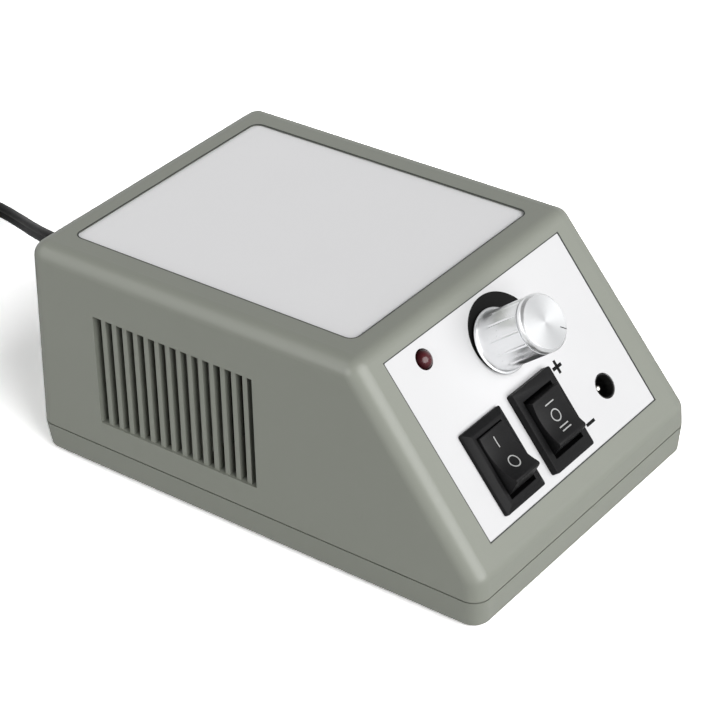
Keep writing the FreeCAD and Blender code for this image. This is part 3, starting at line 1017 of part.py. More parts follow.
def strain_relief():
    wall_plane = "(wall + relief_slack)"
    relief = turned_body("relief_turned", [
        (0, f"-{wall_plane} - relief_inside"), ("relief_collar", f"-{wall_plane} - relief_inside"),
        ("relief_collar", f"-{wall_plane}"), ("relief_hole - relief_fit", f"-{wall_plane}"),
        ("relief_hole - relief_fit", 0), ("relief_flange", 0), ("relief_flange", "relief_flange_thick"),
        ("relief_root", "relief_flange_thick"), ("relief_tip", "relief_flange_thick + relief_tail"),
        (0, "relief_flange_thick + relief_tail"),
    ])
    relief.Placement = Placement(Vector(0, 0, 0), Rotation(X_AXIS, -90))
    keep("strain_relief", place(relief, "cord_x", "body_length / 2", "cord_z"))


def coil_edges(start, outer, pitch, rise, half_turns):
    """Half turns that spiral in, climb a layer in the last of them and spiral out again."""
    middle = (half_turns - 1) // 2
    centre_x = start.x - outer
    edges = []
    level = start.z
    reach = outer
    side = 1
    for number in range(half_turns):
        step = -pitch / 2 if number <= middle else (pitch if number == middle + 1 else pitch / 2)
        first = Vector(centre_x + side * reach, start.y, level)
        reach += step
        climb = rise if number == middle else 0
        last = Vector(centre_x - side * reach, start.y, level + climb)
        radius = (reach - step / 2)
        middle_x = (first.x + last.x) / 2
        if climb:
            slant = math.hypot(radius, climb / 2)
            joint = Vector(middle_x, start.y + side * slant, level + climb / 2)
            edges += [turn_arc(first, joint, Y_AXIS * side), turn_arc(last, joint, Y_AXIS * side)]
        else:
            top = Vector(middle_x, start.y + side * radius, level)
            edges.append(Part.Arc(first, top, last).toShape())
        level += climb
        side = -side
    return edges


def turn_arc(start, end, heading):
    """The arc from start to end that leaves start along heading."""
    chord = end - start
    along = chord.normalize()
    length = (end - start).Length
    lean = heading.getAngle(along)
    across = (heading - along * heading.dot(along)).normalize()
    middle = start + along * (length / 2) + across * (length / 2 * math.tan(lean / 2))
    return Part.Arc(start, middle, end).toShape()


def mains_cord():
    radius = size_of("cord_diameter") / 2
    points = [Vector(*place_of) for place_of in CORD_ROUTE]
    keep("mains_cord", feature("cord_tube", route_shape("mains_cord", points, radius)))
    straight = Y_AXIS * size_of("cord_diameter")
    start = points[-1] + straight
    turns = coil_edges(start, size_of("coil_outer"), size_of("coil_pitch"), size_of("coil_rise"),
                       int(size_of("coil_half_turns")))
    ends = turns[-1].Vertexes
    finish = min((vertex.Point for vertex in ends), key=lambda point: point.x)
    path = [Part.LineSegment(points[-1], start).toShape(), *turns,
            Part.LineSegment(finish, finish - straight).toShape()]
    radii = [edge.Curve.Radius for edge in turns]
    keep("mains_cord_coil", feature("coil_tube", sweep("mains_cord_coil", path, radius, radii)))
    print(f"least gap of the coil to itself {least_gap(Part.Wire(path), radius):.2f}")
    return start, finish - straight


def least_gap(path, radius):
    """The least distance between the faces of turns that lie beside or on each other."""
    step = 1.0
    line = path.discretize(Distance=step)
    apart = int(4 * math.pi * radius / step)
    return min((first - second).Length for number, first in enumerate(line)
               for second in line[number + apart:]) - 2 * radius


def cord_tie(start):
    radius = size_of("cord_diameter") / 2
    outer = size_of("coil_outer")
    pitch = size_of("coil_pitch")
    widest = outer - pitch / 4
    tightest = outer - (int(size_of("coil_half_turns")) - 1) // 2 * pitch / 2
    sag = tightest - math.sqrt(tightest ** 2 - (size_of("tie_width") / 2 + pitch / 2) ** 2)
    gap = size_of("tie_gap")
    low = tightest - sag - radius - gap
    high = widest + radius + gap
    thick = size_of("tie_thick")
    bottom = start.z - radius - gap
    height = size_of("coil_rise") + 2 * radius + 2 * gap
    middle_x = start.x - outer
    middle_y = start.y + (low + high) / 2
    outside = box("tie_outside", "tie_width", high - low + 2 * thick, height + 2 * thick, middle_x,
                  middle_y, bottom - thick)
    inside = box("tie_inside", "2 * tie_width", high - low, height, middle_x, middle_y, bottom)
    keep("cord_tie", cut("tie_cut", outside, inside))


def plug(tip):
    sleeve = cone("plug_sleeve_cone", "plug_sleeve_radius", "cord_diameter / 2 + sleeve_wall", "plug_sleeve",
                  tip.x, f"{tip.y} - plug_sleeve", tip.z, "y")
    shoulder = "plug_shoulder"
    body = padded_body("plug_blank", "XY_Plane", [
        ("-plug_neck / 2", 0), ("-plug_width / 2", f"-{shoulder}"), ("-plug_width / 2", "-plug_length"),
        ("plug_width / 2", "-plug_length"), ("plug_width / 2", f"-{shoulder}"), ("plug_neck / 2", 0),
    ], "plug_thick")
    place(body, tip.x, f"{tip.y} - plug_sleeve", "plug_thick / 2")
    smooth = rounded("plug_smooth", body, size_of("plug_round"), lambda edge: True)
    keep("plug_body", fuse("plug_fused", smooth, sleeve))
    pins = [cylinder(f"plug_pin_{side}", "pin_radius", "pin_length", f"{tip.x} + {side} * pin_spacing / 2",
                     f"{tip.y} - plug_sleeve - plug_length - pin_length", "plug_thick / 2", "y")
            for side in (-1, 1)]
    keep("plug_pins", group("plug_pin_pair", *pins))


upper_housing()
base_tray()
fixings()
switches()
speed_control()
knob()
power_lamp()
output_jack()
transformer()
circuit_board()
wiring()
strain_relief()
coil_start, coil_end = mains_cord()
cord_tie(coil_start)
plug(coil_end)
doc.recompute()

faults = [obj.Name for obj in doc.Objects if "Invalid" in obj.State or "Error" in obj.State]
for name, obj in pieces.items():
    if obj.Shape.isNull() or not obj.Shape.isValid() or not obj.Shape.Solids:
        faults.append(name)
if faults:
    raise SystemExit(f"these pieces failed: {faults}")
os.makedirs("parts", exist_ok=True)
for name, obj in pieces.items():
    obj.Shape.exportStep(f"parts/{name}.step")
    reach = obj.Shape.BoundBox
    print(f"{name}: {len(obj.Shape.Solids)} solid(s), {obj.Shape.Volume:.1f} mm3,"
          f" x {reach.XMin:.2f} {reach.XMax:.2f}, y {reach.YMin:.2f} {reach.YMax:.2f},"
          f" z {reach.ZMin:.2f} {reach.ZMax:.2f}")
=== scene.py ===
import math

import bmesh
import bpy
from mathutils import Matrix, Vector


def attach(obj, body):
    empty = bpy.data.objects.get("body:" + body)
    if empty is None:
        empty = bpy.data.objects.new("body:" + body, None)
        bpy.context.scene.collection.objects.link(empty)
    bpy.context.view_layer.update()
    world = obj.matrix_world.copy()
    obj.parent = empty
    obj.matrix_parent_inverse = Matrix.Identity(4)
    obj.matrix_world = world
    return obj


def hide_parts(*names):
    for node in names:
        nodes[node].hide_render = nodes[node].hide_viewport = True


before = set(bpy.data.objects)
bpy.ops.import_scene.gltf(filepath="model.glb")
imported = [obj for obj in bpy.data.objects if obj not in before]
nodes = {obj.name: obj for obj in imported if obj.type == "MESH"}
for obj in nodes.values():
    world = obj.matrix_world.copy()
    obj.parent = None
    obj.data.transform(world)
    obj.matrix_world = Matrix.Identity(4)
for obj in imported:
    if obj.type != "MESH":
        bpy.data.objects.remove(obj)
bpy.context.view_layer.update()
MM = 0.001

# Camera: a long lens from the front left and above, tipped a little, as the box was photographed.
# Its heading, dip and roll are in degrees.
camera_place = Vector((-401.7, -321.1, 357.5)) * MM
camera_heading = -51.41
camera_dip = 32.82
camera_roll = -2.57
camera_lens = 127.2
camera_data = bpy.data.cameras.new("camera")
camera_data.sensor_width = 36
camera_data.lens = camera_lens
camera = bpy.data.objects.new("camera", camera_data)
camera.matrix_world = (Matrix.Translation(camera_place)
                       @ Matrix.Rotation(math.radians(camera_heading), 4, "Z")
                       @ Matrix.Rotation(math.radians(90 - camera_dip), 4, "X")
                       @ Matrix.Rotation(math.radians(camera_roll), 4, "Z"))
bpy.context.scene.collection.objects.link(camera)
bpy.context.scene.camera = camera
bpy.context.scene.view_settings.view_transform = "Standard"


# Studio: a sheet of white paper that keeps the box's shadow, in a white tent that is dim overhead.
# A broad lamp stands in front of the sloped panel, with faint ones at the left and behind.
def add_node(tree, kind, inputs=None, **settings):
    """A shader node; inputs maps its sockets to values or to other nodes' outputs."""
    node = tree.nodes.new("ShaderNode" + kind)
    for name, value in settings.items():
        setattr(node, name, value)
    for socket, value in (inputs or {}).items():
        if isinstance(value, bpy.types.NodeSocket):
            tree.links.new(value, node.inputs[socket])
        else:
            node.inputs[socket].default_value = value
    return node


def new_object(name, data):
    """A new object in the scene, for a mesh, a curve or a lamp."""
    made = bpy.data.objects.new(name, data)
    bpy.context.scene.collection.objects.link(made)
    return made


# Matt white paper: plain white to the camera, a little dimmer in a reflection, and dark to the
# light that it throws back, so that it doesn't light the box from below. Its reach is in metres.
floor_reach = 6
paper_seen = 2.7
paper_mirrored = 0.9
paper_thrown = 0.22
floor_shape = bmesh.new()
bmesh.ops.create_grid(floor_shape, x_segments=1, y_segments=1, size=floor_reach)
floor_mesh = bpy.data.meshes.new("floor")
floor_shape.to_mesh(floor_mesh)
floor = new_object("floor", floor_mesh)
white_paper = bpy.data.materials.new("matt_white_paper")
white_paper.use_nodes = True
tree = white_paper.node_tree
tree.nodes.remove(tree.nodes["Principled BSDF"])
ray = add_node(tree, "LightPath")
mirrored = add_node(tree, "Math", {0: ray.outputs["Is Glossy Ray"], 1: ray.outputs["Is Transmission Ray"]},
                    operation="ADD", use_clamp=True)
paper = add_node(tree, "Mix", {"Factor": mirrored.outputs[0], 2: paper_thrown, 3: paper_mirrored},
                 data_type="FLOAT")
white = add_node(tree, "Mix", {"Factor": ray.outputs["Is Camera Ray"], 2: paper.outputs[0],
                               3: paper_seen}, data_type="FLOAT")
sheet = add_node(tree, "BsdfDiffuse", {"Color": white.outputs[0]})
tree.links.new(sheet.outputs[0], tree.nodes["Material Output"].inputs["Surface"])
floor_mesh.materials.append(white_paper)

# The tent lights the box from near the floor only; seen straight or in a reflection, its walls
# are nearly white below and dimmer overhead. A height is the sine of the angle over the floor.
fill_low = 0.6
walls_low = 0.9
walls_high = 0.3
tent = bpy.data.worlds.new("white_tent")
tent.use_nodes = True
bpy.context.scene.world = tent
tree = tent.node_tree
height = add_node(tree, "SeparateXYZ", {0: add_node(tree, "TexCoord").outputs["Generated"]})
fill = add_node(tree, "MapRange", {"Value": height.outputs["Z"], "From Min": 0.1, "From Max": 0.35,
                                   "To Min": fill_low, "To Max": 0.0})
walls = add_node(tree, "MapRange", {"Value": height.outputs["Z"], "From Min": 0.35, "From Max": 0.9,
                                    "To Min": walls_low, "To Max": walls_high})
ray = add_node(tree, "LightPath")
seen = add_node(tree, "Math", {0: ray.outputs["Is Camera Ray"], 1: ray.outputs["Is Glossy Ray"]},
                operation="ADD")
shown = add_node(tree, "Math", {0: seen.outputs[0], 1: ray.outputs["Is Transmission Ray"]},
                 operation="ADD", use_clamp=True)
glow = add_node(tree, "Mix", {"Factor": shown.outputs[0], 2: fill.outputs[0], 3: walls.outputs[0]},
                data_type="FLOAT")
tree.nodes["Background"].inputs["Color"].default_value = (1, 1, 1, 1)
tree.links.new(glow.outputs[0], tree.nodes["Background"].inputs["Strength"])


def soft_lamp(name, toward, spread, strength):
    """A soft lamp far away in one direction, spread over an angle in degrees."""
    data = bpy.data.lights.new(name, "SUN")
    data.angle = math.radians(spread)
    data.energy = strength
    made = new_object(name, data)
    made.rotation_euler = Vector(toward).to_track_quat("Z", "Y").to_euler()


soft_lamp("front_lamp", toward=(-0.02, -0.9, 0.43), spread=64, strength=4.0)
soft_lamp("left_lamp", toward=(-0.93, 0.25, 0.26), spread=40, strength=1.25)
soft_lamp("back_lamp", toward=(-0.5, 0.6, 0.62), spread=30, strength=0.42)


# Plug: a flat two-pin mains plug. Black PVC is moulded round the two pins and the end of the flex,
# with a thumb recess on both faces; the ribbed sleeve behind it lets the flex bend without a kink.
def paint(code):
    """A colour written as sRGB hex, in the linear values that a shader takes."""
    shares = [int(code[at:at + 2], 16) / 255 for at in (1, 3, 5)]
    linear = [share / 12.92 if share <= 0.04045 else ((share + 0.055) / 1.055) ** 2.4 for share in shares]
    return (*linear, 1.0)


def finish(name, colour, roughness, grain=0.5, relief=0.01, tint=0.04, lines=None, **sockets):
    """A surface whose colour drifts by tint; grains, or lines along an axis, have a size in mm
    and stand up by relief in mm."""
    drift_size = 18
    gloss_swing = 0.06
    material = bpy.data.materials.new(name)
    material.use_nodes = True
    tree = material.node_tree
    shader = tree.nodes["Principled BSDF"]
    for socket, value in sockets.items():
        shader.inputs[socket.replace("_", " ")].default_value = value
    place = add_node(tree, "TexCoord").outputs["Object"]
    drift = add_node(tree, "TexNoise", {"Vector": place, "Scale": 1 / (drift_size * MM), "Detail": 3.0})
    grains = add_node(tree, "TexNoise", {"Vector": place, "Scale": 1 / (grain * MM), "Detail": 2.0})
    relief_map = grains.outputs["Fac"]
    if lines:
        # At scale 1 the bands of a wave texture are pi / 10 apart.
        relief_map = add_node(tree, "TexWave", {"Vector": place, "Scale": math.pi / 10 / (grain * MM)},
                              bands_direction=lines).outputs["Fac"]
    shade = add_node(tree, "MapRange", {"Value": drift.outputs["Fac"], "To Min": 1 - tint,
                                        "To Max": 1 + tint})
    tinted = add_node(tree, "VectorMath", {0: paint(colour)[:3], "Scale": shade.outputs[0]},
                      operation="SCALE")
    dulled = add_node(tree, "MapRange", {"Value": grains.outputs["Fac"],
                                         "To Min": roughness - gloss_swing,
                                         "To Max": roughness + gloss_swing})
    bump = add_node(tree, "Bump", {"Height": relief_map, "Distance": relief * MM})
    tree.links.new(tinted.outputs["Vector"], shader.inputs["Base Color"])
    tree.links.new(dulled.outputs[0], shader.inputs["Roughness"])
    tree.links.new(bump.outputs[0], shader.inputs["Normal"])
    return material


def turned(profile, steps=64):
    """A bmesh in mm, turned about Z from a profile of radii and heights."""
    shape = bmesh.new()
    points = [shape.verts.new((radius, 0, height)) for radius, height in profile]
    edges = [shape.edges.new(pair) for pair in zip(points, points[1:])]
    bmesh.ops.spin(shape, geom=points + edges, cent=(0, 0, 0), axis=(0, 0, 1), angle=2 * math.pi,
                   steps=steps, use_merge=True)
    return shape


def solid(name, shape, place, crease=35):
    """A closed mesh from a bmesh drawn in mm, put in its place in the frame in metres."""
    bmesh.ops.remove_doubles(shape, verts=shape.verts, dist=0.001)
    bmesh.ops.recalc_face_normals(shape, faces=shape.faces)
    shape.transform(Matrix.Scale(MM, 4) @ place)
    mesh = bpy.data.meshes.new(name)
    shape.to_mesh(mesh)
    shape.free()
    mesh.shade_smooth()
    mesh.set_sharp_from_angle(angle=math.radians(crease))
    return new_object(name, mesh)


def settle(piece, body, slot, material, *replaced):
    """Let a finished piece ride on its body, in its finish, in place of the solids it stands for."""
    piece.data.materials.clear()
    piece.data.materials.append(material)
    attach(piece, body)
    if replaced:
        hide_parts(*replaced)


def ribbed_tail(start, length, root, tip, count):
    """The outline of a tapered sleeve with ring grooves, from its root to the middle of its tip."""
    plain_ends = 4
    plain_root = 2.2
    groove_deep = 0.75
    groove_lean = 0.25
    groove_share = 0.4
    outline = [(root, start)]
    pitch = (length - plain_ends) / count
    for number in range(count):
        foot = start + plain_root + number * pitch
        wall = foot + groove_share * pitch
        radius = root + (tip - root) * (foot - start) / length
        outline += [(radius, foot), (radius - groove_deep, foot + groove_lean),
                    (radius - groove_deep, wall), (radius, wall + groove_lean)]
    return outline + [(tip, start + length - 0.5), (tip - 0.4, start + length), (0, start + length)]


def cube(shape, centre, size):
    """Adds a block to a bmesh and gives its vertices."""
    place = Matrix.Translation(centre) @ Matrix.Diagonal((*size, 1))
    return bmesh.ops.create_cube(shape, size=1, matrix=place)["verts"]


def push(shape, faces, way):
    """Extrudes flat faces of a bmesh along a vector, which closes them to a solid form."""
    moved = bmesh.ops.extrude_face_region(shape, geom=faces)["geom"]
    bmesh.ops.translate(shape, vec=way,
                        verts=[part for part in moved if isinstance(part, bmesh.types.BMVert)])
    return shape


def join(whole, part):
    """Adds one bmesh to another and frees it."""
    mesh = bpy.data.meshes.new("part")
    part.to_mesh(mesh)
    part.free()
    whole.from_mesh(mesh)
    bpy.data.meshes.remove(mesh)


plug_face_y = 145.4
plug_middle = Vector((-37.8, 181.4, 6.9))
plug_outline = [(-6, 0), (-17.5, -20), (-17.5, -36), (17.5, -36), (17.5, -20), (6, 0)]
plug_thick = 13.8
plug_round = 3.0
recess_margin = 2.4
recess_wall = 0.8
recess_depth = 0.8
grip_ribs = 5
rib_start = -14
rib_pitch = 3.2
rib_level = plug_thick / 2 - 0.7
rib_length = 11
rib_wide = 1.4
rib_high = 1.2
tail_rise = 1.4
plug_shape = bmesh.new()
outline = plug_shape.faces.new([plug_shape.verts.new((across, along, -plug_thick / 2))
                                for across, along in plug_outline])
push(plug_shape, [outline], (0, 0, plug_thick))
bmesh.ops.recalc_face_normals(plug_shape, faces=plug_shape.faces)
bmesh.ops.bevel(plug_shape, geom=plug_shape.edges, offset=plug_round, segments=5, profile=0.5,
                affect="EDGES", material=-1)
for side in (-1, 1):
    broad = max((face for face in plug_shape.faces if face.normal.z * side > 0.99),
                key=lambda face: face.calc_area())
    bmesh.ops.inset_region(plug_shape, faces=[broad], thickness=recess_margin)
    bmesh.ops.inset_region(plug_shape, faces=[broad], thickness=recess_wall, depth=-recess_depth)
    for number in range(grip_ribs):
        cube(plug_shape, (0, rib_start - rib_pitch * number, side * rib_level),
             (rib_length + number, rib_wide, rib_high))
tail = turned([(0, -3), (4.6, -3), (4.6, 0)]
              + ribbed_tail(start=0.6, length=25.4, root=4.3, tip=2.9, count=6), steps=40)
tail.transform(Matrix.Translation((0, 0, tail_rise)) @ Matrix.Rotation(math.radians(-90), 4, "X"))
join(plug_shape, tail)
plug = solid("moulded_plug", plug_shape, Matrix.Translation(plug_middle))

# Soft PVC, moulded or extruded: a full black with a low sheen that dulls where it is handled.
soft_pvc = finish("soft_black_pvc", "#131414", 0.4, grain=1.2, relief=0.012, tint=0.08,
                  Specular_IOR_Level=0.15)
settle(plug, "root", "cord_pvc", soft_pvc, "plug_body")

pin_radius = 2.0
pin_length = 19.0
pin_places = [(-47.1, plug_face_y, 6.9), (-28.5, plug_face_y, 6.9)]
pin_profile = [(0, -1), (1.5, -1), (1.5, 10), (pin_radius, 10), (pin_radius, 17.2), (1.8, 18.1),
               (1.3, 18.7), (0.7, pin_length - 0.05), (0, pin_length)]
guard_profile = [(1.5, -0.2), (1.95, -0.2), (1.95, 9.9), (1.5, 9.9), (1.5, -0.2)]
pins = bmesh.new()
guards = bmesh.new()
for place in pin_places:
    stand = Matrix.Translation(place) @ Matrix.Rotation(math.radians(90), 4, "X")
    for whole, profile in ((pins, pin_profile), (guards, guard_profile)):
        one = turned(profile, steps=32)
        one.transform(stand)
        join(whole, one)
plug_pins = solid("round_pins", pins, Matrix())
pin_guards = solid("pin_guards", guards, Matrix())

# Nickel plate over brass: a warm bright metal with faint scuffs from sockets.
nickel = finish("nickel_plated_brass", "#c2bcae", 0.24, grain=0.35, relief=0.006, Metallic=1.0)
settle(plug_pins, "root", "nickel_plate", nickel, "plug_pins")
settle(pin_guards, "root", "cord_pvc", soft_pvc)

# Strain relief: a soft black PVC bush, pushed through the back wall and held by its inner collar.
# Its flange covers the hole, and ring grooves let the tapered tail bend with the flex.
cord_exit_x = 12
cord_exit_z = 17
back_face_y = 66
relief_profile = [(0, -6.75), (6.0, -6.75), (6.0, -3.0), (4.9, -3.0), (4.9, 0), (7.5, 0), (7.5, 1.3),
                  (7.3, 1.8), (6.8, 2.0), (5.1, 2.0), (4.7, 2.4)]
relief_profile += ribbed_tail(start=2.8, length=23.2, root=4.6, tip=3.4, count=6)
relief_place = (Matrix.Translation((cord_exit_x, back_face_y, cord_exit_z))
                @ Matrix.Rotation(math.radians(-90), 4, "X"))
relief = solid("strain_relief_bush", turned(relief_profile), relief_place)
settle(relief, "root", "cord_pvc", soft_pvc, "strain_relief")

# Cord tie: a strap of woven black nylon, passed round both layers of the coil. Its end is lapped
# over the top and pressed down, and its corners keep the roundness of the bundle.
tie_low = Vector((-7.3, 225.6, 0.0))
tie_high = Vector((4.7, 250.4, 11.5))
tie_thick = 0.6
tie_round = 3.0
lap_middle = (-1.3, 236, tie_high.z + tie_thick / 2 - 0.05)
lap_size = (11.6, 15, tie_thick)
lap_round = 0.22
strap = bmesh.new()
corners = [(tie_low.y, tie_low.z), (tie_high.y, tie_low.z), (tie_high.y, tie_high.z),
           (tie_low.y, tie_high.z)]
loop = strap.faces.new([strap.verts.new((tie_low.x, across, up)) for across, up in corners])
bmesh.ops.bevel(strap, geom=loop.verts, offset=tie_round, segments=5, profile=0.5, affect="VERTICES",
                material=-1)
loop = strap.faces[:][0]
band = bmesh.ops.inset_region(strap, faces=[loop], thickness=tie_thick, use_boundary=True,
                              use_even_offset=True)["faces"]
bmesh.ops.delete(strap, geom=[loop], context="FACES_ONLY")
push(strap, band, (tie_high.x - tie_low.x, 0, 0))
lap = cube(strap, lap_middle, lap_size)
bmesh.ops.bevel(strap, geom=[edge for edge in strap.edges if all(vert in lap for vert in edge.verts)],
                offset=lap_round, segments=2, profile=0.5, affect="EDGES", material=-1)
cord_tie = solid("woven_tie_strap", strap, Matrix())

# Woven nylon: matt black with raised ribs across the strap, 0.8 mm apart, and a faint sheen.
woven_nylon = finish("woven_nylon", "#17181a", 0.62, grain=0.8, relief=0.12, lines="Y", Sheen_Weight=0.3)
settle(cord_tie, "root", "tie_nylon", woven_nylon, "cord_tie")

# Mains cord: a flat black twin flex with a groove between its two cores, extruded in soft PVC.
# It leaves the strain relief straight, sinks to the floor and is put away in a neat coil.
cord_width = 4.6 * MM
core_radius = 1.2 * MM
web_half = 0.65 * MM
cord_route = [(12, 92, 17), (12, 103, 17), (15.6, 117.5, 14.3), (22.3, 130.5, 9.6), (28.7, 141.5, 5.4),
              (33.0, 153, 3.4), (34.6, 167, 3.2), (34.6, 181, 3.3), (35.2, 195, 3.2), (35.2, 207.4, 3.2)]
coil_start = Vector((35.2, 212, 3.2))
coil_reach = 36.5
coil_pitch = 5.05
coil_climb = 5.1
coil_end = 4.6
half_turns = 15
points_a_half_turn = 9


def coil_points():
    """The coil spirals in on the floor, climbs one layer and spirals out again on top."""
    centre = coil_start.x - coil_reach
    swell = 1 / math.cos(math.pi / points_a_half_turn / 2)
    middle = half_turns // 2
    reach, level, side = coil_reach, coil_start.z, 1
    points = []
    for turn in range(half_turns):
        step = coil_pitch * (-0.5 if turn <= middle else 1 if turn == middle + 1 else 0.5)
        climb = coil_climb if turn == middle else 0
        radius = reach + step / 2
        heart = centre + side * (reach - radius)
        for number in range(points_a_half_turn):
            share = (number + 0.5) / points_a_half_turn
            arm = side * radius * swell * Vector((math.cos(math.pi * share), math.sin(math.pi * share), 0))
            points.append(Vector((heart, coil_start.y, level + climb * share)) + arm)
        reach, level, side = reach + step, level + climb, -side
    return points + [(centre + side * reach, coil_start.y, level),
                     (centre + side * reach, coil_start.y - coil_end, level)]


cord_data = bpy.data.curves.new("cord_line", "CURVE")
cord_data.dimensions = "3D"
cord_data.resolution_u = 8
cord_data.twist_mode = "Z_UP"
spline = cord_data.splines.new("NURBS")
control_points = cord_route + coil_points()
spline.points.add(len(control_points) - 1)
for point, place in zip(spline.points, control_points):
    point.co = (*(Vector(place) * MM), 1)
spline.order_u = 3
spline.use_endpoint_u = True
cord_line = new_object("cord_line", cord_data)
line_mesh = bpy.data.meshes.new_from_object(cord_line)
bpy.data.meshes.remove(line_mesh)

meet = math.asin(web_half / core_radius)
lobe_steps = 9
lobe = [meet + (2 * math.pi - 2 * meet) * number / lobe_steps - math.pi
        for number in range(lobe_steps + 1)]
half_section = [((cord_width / 2 - core_radius) + core_radius * math.cos(angle),
                 core_radius * math.sin(angle)) for angle in lobe]
section_data = bpy.data.curves.new("cord_section", "CURVE")
section_data.dimensions = "2D"
ring = section_data.splines.new("POLY")
ring.points.add(2 * len(half_section) - 1)
for point, (across, up) in zip(ring.points, half_section + [(-across, -up) for across, up in half_section]):
    point.co = (-up, across, 0, 1)
ring.use_cyclic_u = True
section = new_object("cord_section", section_data)
cord_data.bevel_mode = "OBJECT"
cord_data.bevel_object = section
cord_data.use_fill_caps = True
swept = cord_line.evaluated_get(bpy.context.evaluated_depsgraph_get())
cord_shape = bmesh.new()
cord_shape.from_mesh(bpy.data.meshes.new_from_object(swept))
cord_shape.transform(Matrix.Scale(1 / MM, 4))
bpy.data.objects.remove(cord_line)
bpy.data.objects.remove(section)
cord = solid("twin_flex", cord_shape, Matrix(), crease=60)
settle(cord, "root", "cord_pvc", soft_pvc, "mains_cord", "mains_cord_coil")


# Base tray: the shallow lower half of the case, injection moulded in grey-green ABS, with posts for
# the board and the transformer. Four rubber feet sit in its corners, and screws pass up through it.
def dress(material, *names):
    """Give solids that keep their shape their own finish."""
    for name in names:
        for slot in nodes[name].material_slots:
            slot.material = material


# ABS from a lightly spark-eroded mould: an even satin skin of fine grains about half a mm across.
moulded_abs = finish("moulded_abs", "#868980", 0.38, grain=0.55, relief=0.008, tint=0.02)
dress(moulded_abs, "base_tray")

# Rubber: dull deep black, a little dusty, with a moulded grain.
foot_rubber = finish("moulded_rubber", "#1c1c1b", 0.78, grain=0.7, relief=0.02, tint=0.15)
dress(foot_rubber, "rubber_feet")

# Bright zinc plate: bluish silver, slightly clouded by the bath.
zinc = finish("bright_zinc_plate", "#b4b6b6", 0.3, grain=0.8, relief=0.005, tint=0.06, Metallic=1.0)
dress(zinc, "housing_screws", "board_screws", "machine_screws")

# Transformer: varnished steel sheets stacked round a nylon bobbin with two windings of enamelled
# copper. A folded steel strap and two machine screws hold it down, and a thermal fuse lies on top.

# Varnished steel sheets, 0.5 mm each: dark blue-grey with the edges of the stack as fine lines.
core_sheets = finish("varnished_steel_sheets", "#3a3c42", 0.45, grain=0.5, relief=0.08, lines="Y",
                     Metallic=0.6)
dress(core_sheets, "transformer_core")
# Natural nylon: milky, slightly waxy.
natural_nylon = finish("natural_nylon", "#dcd8c8", 0.45, grain=0.9, relief=0.01, tint=0.05)
dress(natural_nylon, "transformer_bobbin", "board_connectors")
# Enamelled copper wire: deep orange-brown, its turns laid side by side 0.4 mm apart.
enamelled_copper = finish("enamelled_copper_wire", "#b4602c", 0.3, grain=0.4, relief=0.1, lines="Z",
                          Metallic=0.8)
dress(enamelled_copper, "primary_winding", "secondary_winding")
# Zinc-plated strip: rolled steel, dull silver.
strap_steel = finish("zinc_plated_strip", "#a7a7a2", 0.38, grain=0.6, relief=0.008, tint=0.08,
                     Metallic=1.0)
dress(strap_steel, "transformer_bracket")
# Glazed ceramic: a cream fuse body.
ceramic = finish("glazed_ceramic", "#e6e0cc", 0.3, grain=1.0, relief=0.006)
dress(ceramic, "thermal_fuse")

# Circuit board: brown paper laminate screwed to four posts, with a smoothing capacitor, four
# diodes, four resistors, a glass fuse in brass clips, and a regulator bolted to its heat sink.

# Paper laminate: brown, with a mottled resin-rich face.
paper_laminate = finish("paper_laminate", "#7a5a2a", 0.5, grain=2.5, relief=0.01, tint=0.15)
dress(paper_laminate, "circuit_board")
# Shrink sleeve: thin glossy dark blue PVC.
shrink_sleeve = finish("shrink_sleeve", "#1b2547", 0.25, grain=1.5, relief=0.01)
dress(shrink_sleeve, "filter_capacitor")
# Moulded epoxy: matt black with a fine grit.
black_epoxy = finish("moulded_epoxy", "#1d1d1e", 0.6, grain=0.3, relief=0.015)
dress(black_epoxy, "rectifier_diodes", "speed_regulator")
# Baked lacquer: beige, dipped, so it pools a little.
beige_lacquer = finish("baked_lacquer", "#c6ab7a", 0.4, grain=1.6, relief=0.02, tint=0.1)
dress(beige_lacquer, "board_resistors")
# Fuse glass: clear soda glass.
fuse_glass = finish("soda_glass", "#e8efee", 0.08, grain=3.0, relief=0.002, tint=0.01,
                    Transmission_Weight=0.9, IOR=1.52)
dress(fuse_glass, "glass_fuse")
# Stamped brass: yellow, with a rolled grain.
stamped_brass = finish("stamped_brass", "#c9a75c", 0.3, grain=0.5, relief=0.006, tint=0.08, Metallic=1.0)
dress(stamped_brass, "fuse_clips", "power_terminals", "polarity_terminals", "power_contact",
      "polarity_contact", "pot_terminals", "pot_wiper", "jack_contact")
# Extruded aluminium: pale silver with die lines 0.5 mm apart.
extruded_aluminium = finish("extruded_aluminium", "#b9babc", 0.36, grain=0.5, relief=0.01, lines="X",
                            Metallic=1.0)
dress(extruded_aluminium, "heat_sink", "pot_shaft")

# Hook-up leads: stranded copper in coloured PVC, soldered or crimped at both ends. The two mains
# leads join the flex inside the strain relief.
for lead_name, lead_colour in (("switch_leads", "#a3261f"), ("control_leads", "#c79a1d"),
                               ("transformer_leads", "#22262b"), ("mains_leads", "#5b3a22")):
    # Hook-up PVC: clean saturated colour with a soft gloss.
    dress(finish(lead_name + "_pvc", lead_colour, 0.35, grain=1.0, relief=0.01), lead_name)

# Upper housing: one deep ABS shell with a sloping front panel and fifteen slots in each side. It
# drops over the tray and is pulled down by four long screws from below.
dress(moulded_abs, "upper_housing")


# Front label: white polyester film, printed in black from behind and stuck into a shallow recess of
# the panel. A wedge of print grows round the knob, and plus and minus stand beside the rocker.
panel_foot = (0, -62.459, 18.716)
panel_angle = 52.9
panel = Matrix.Translation(panel_foot) @ Matrix.Rotation(math.radians(panel_angle), 4, "X")
label_level = -0.2
print_thick = 0.03


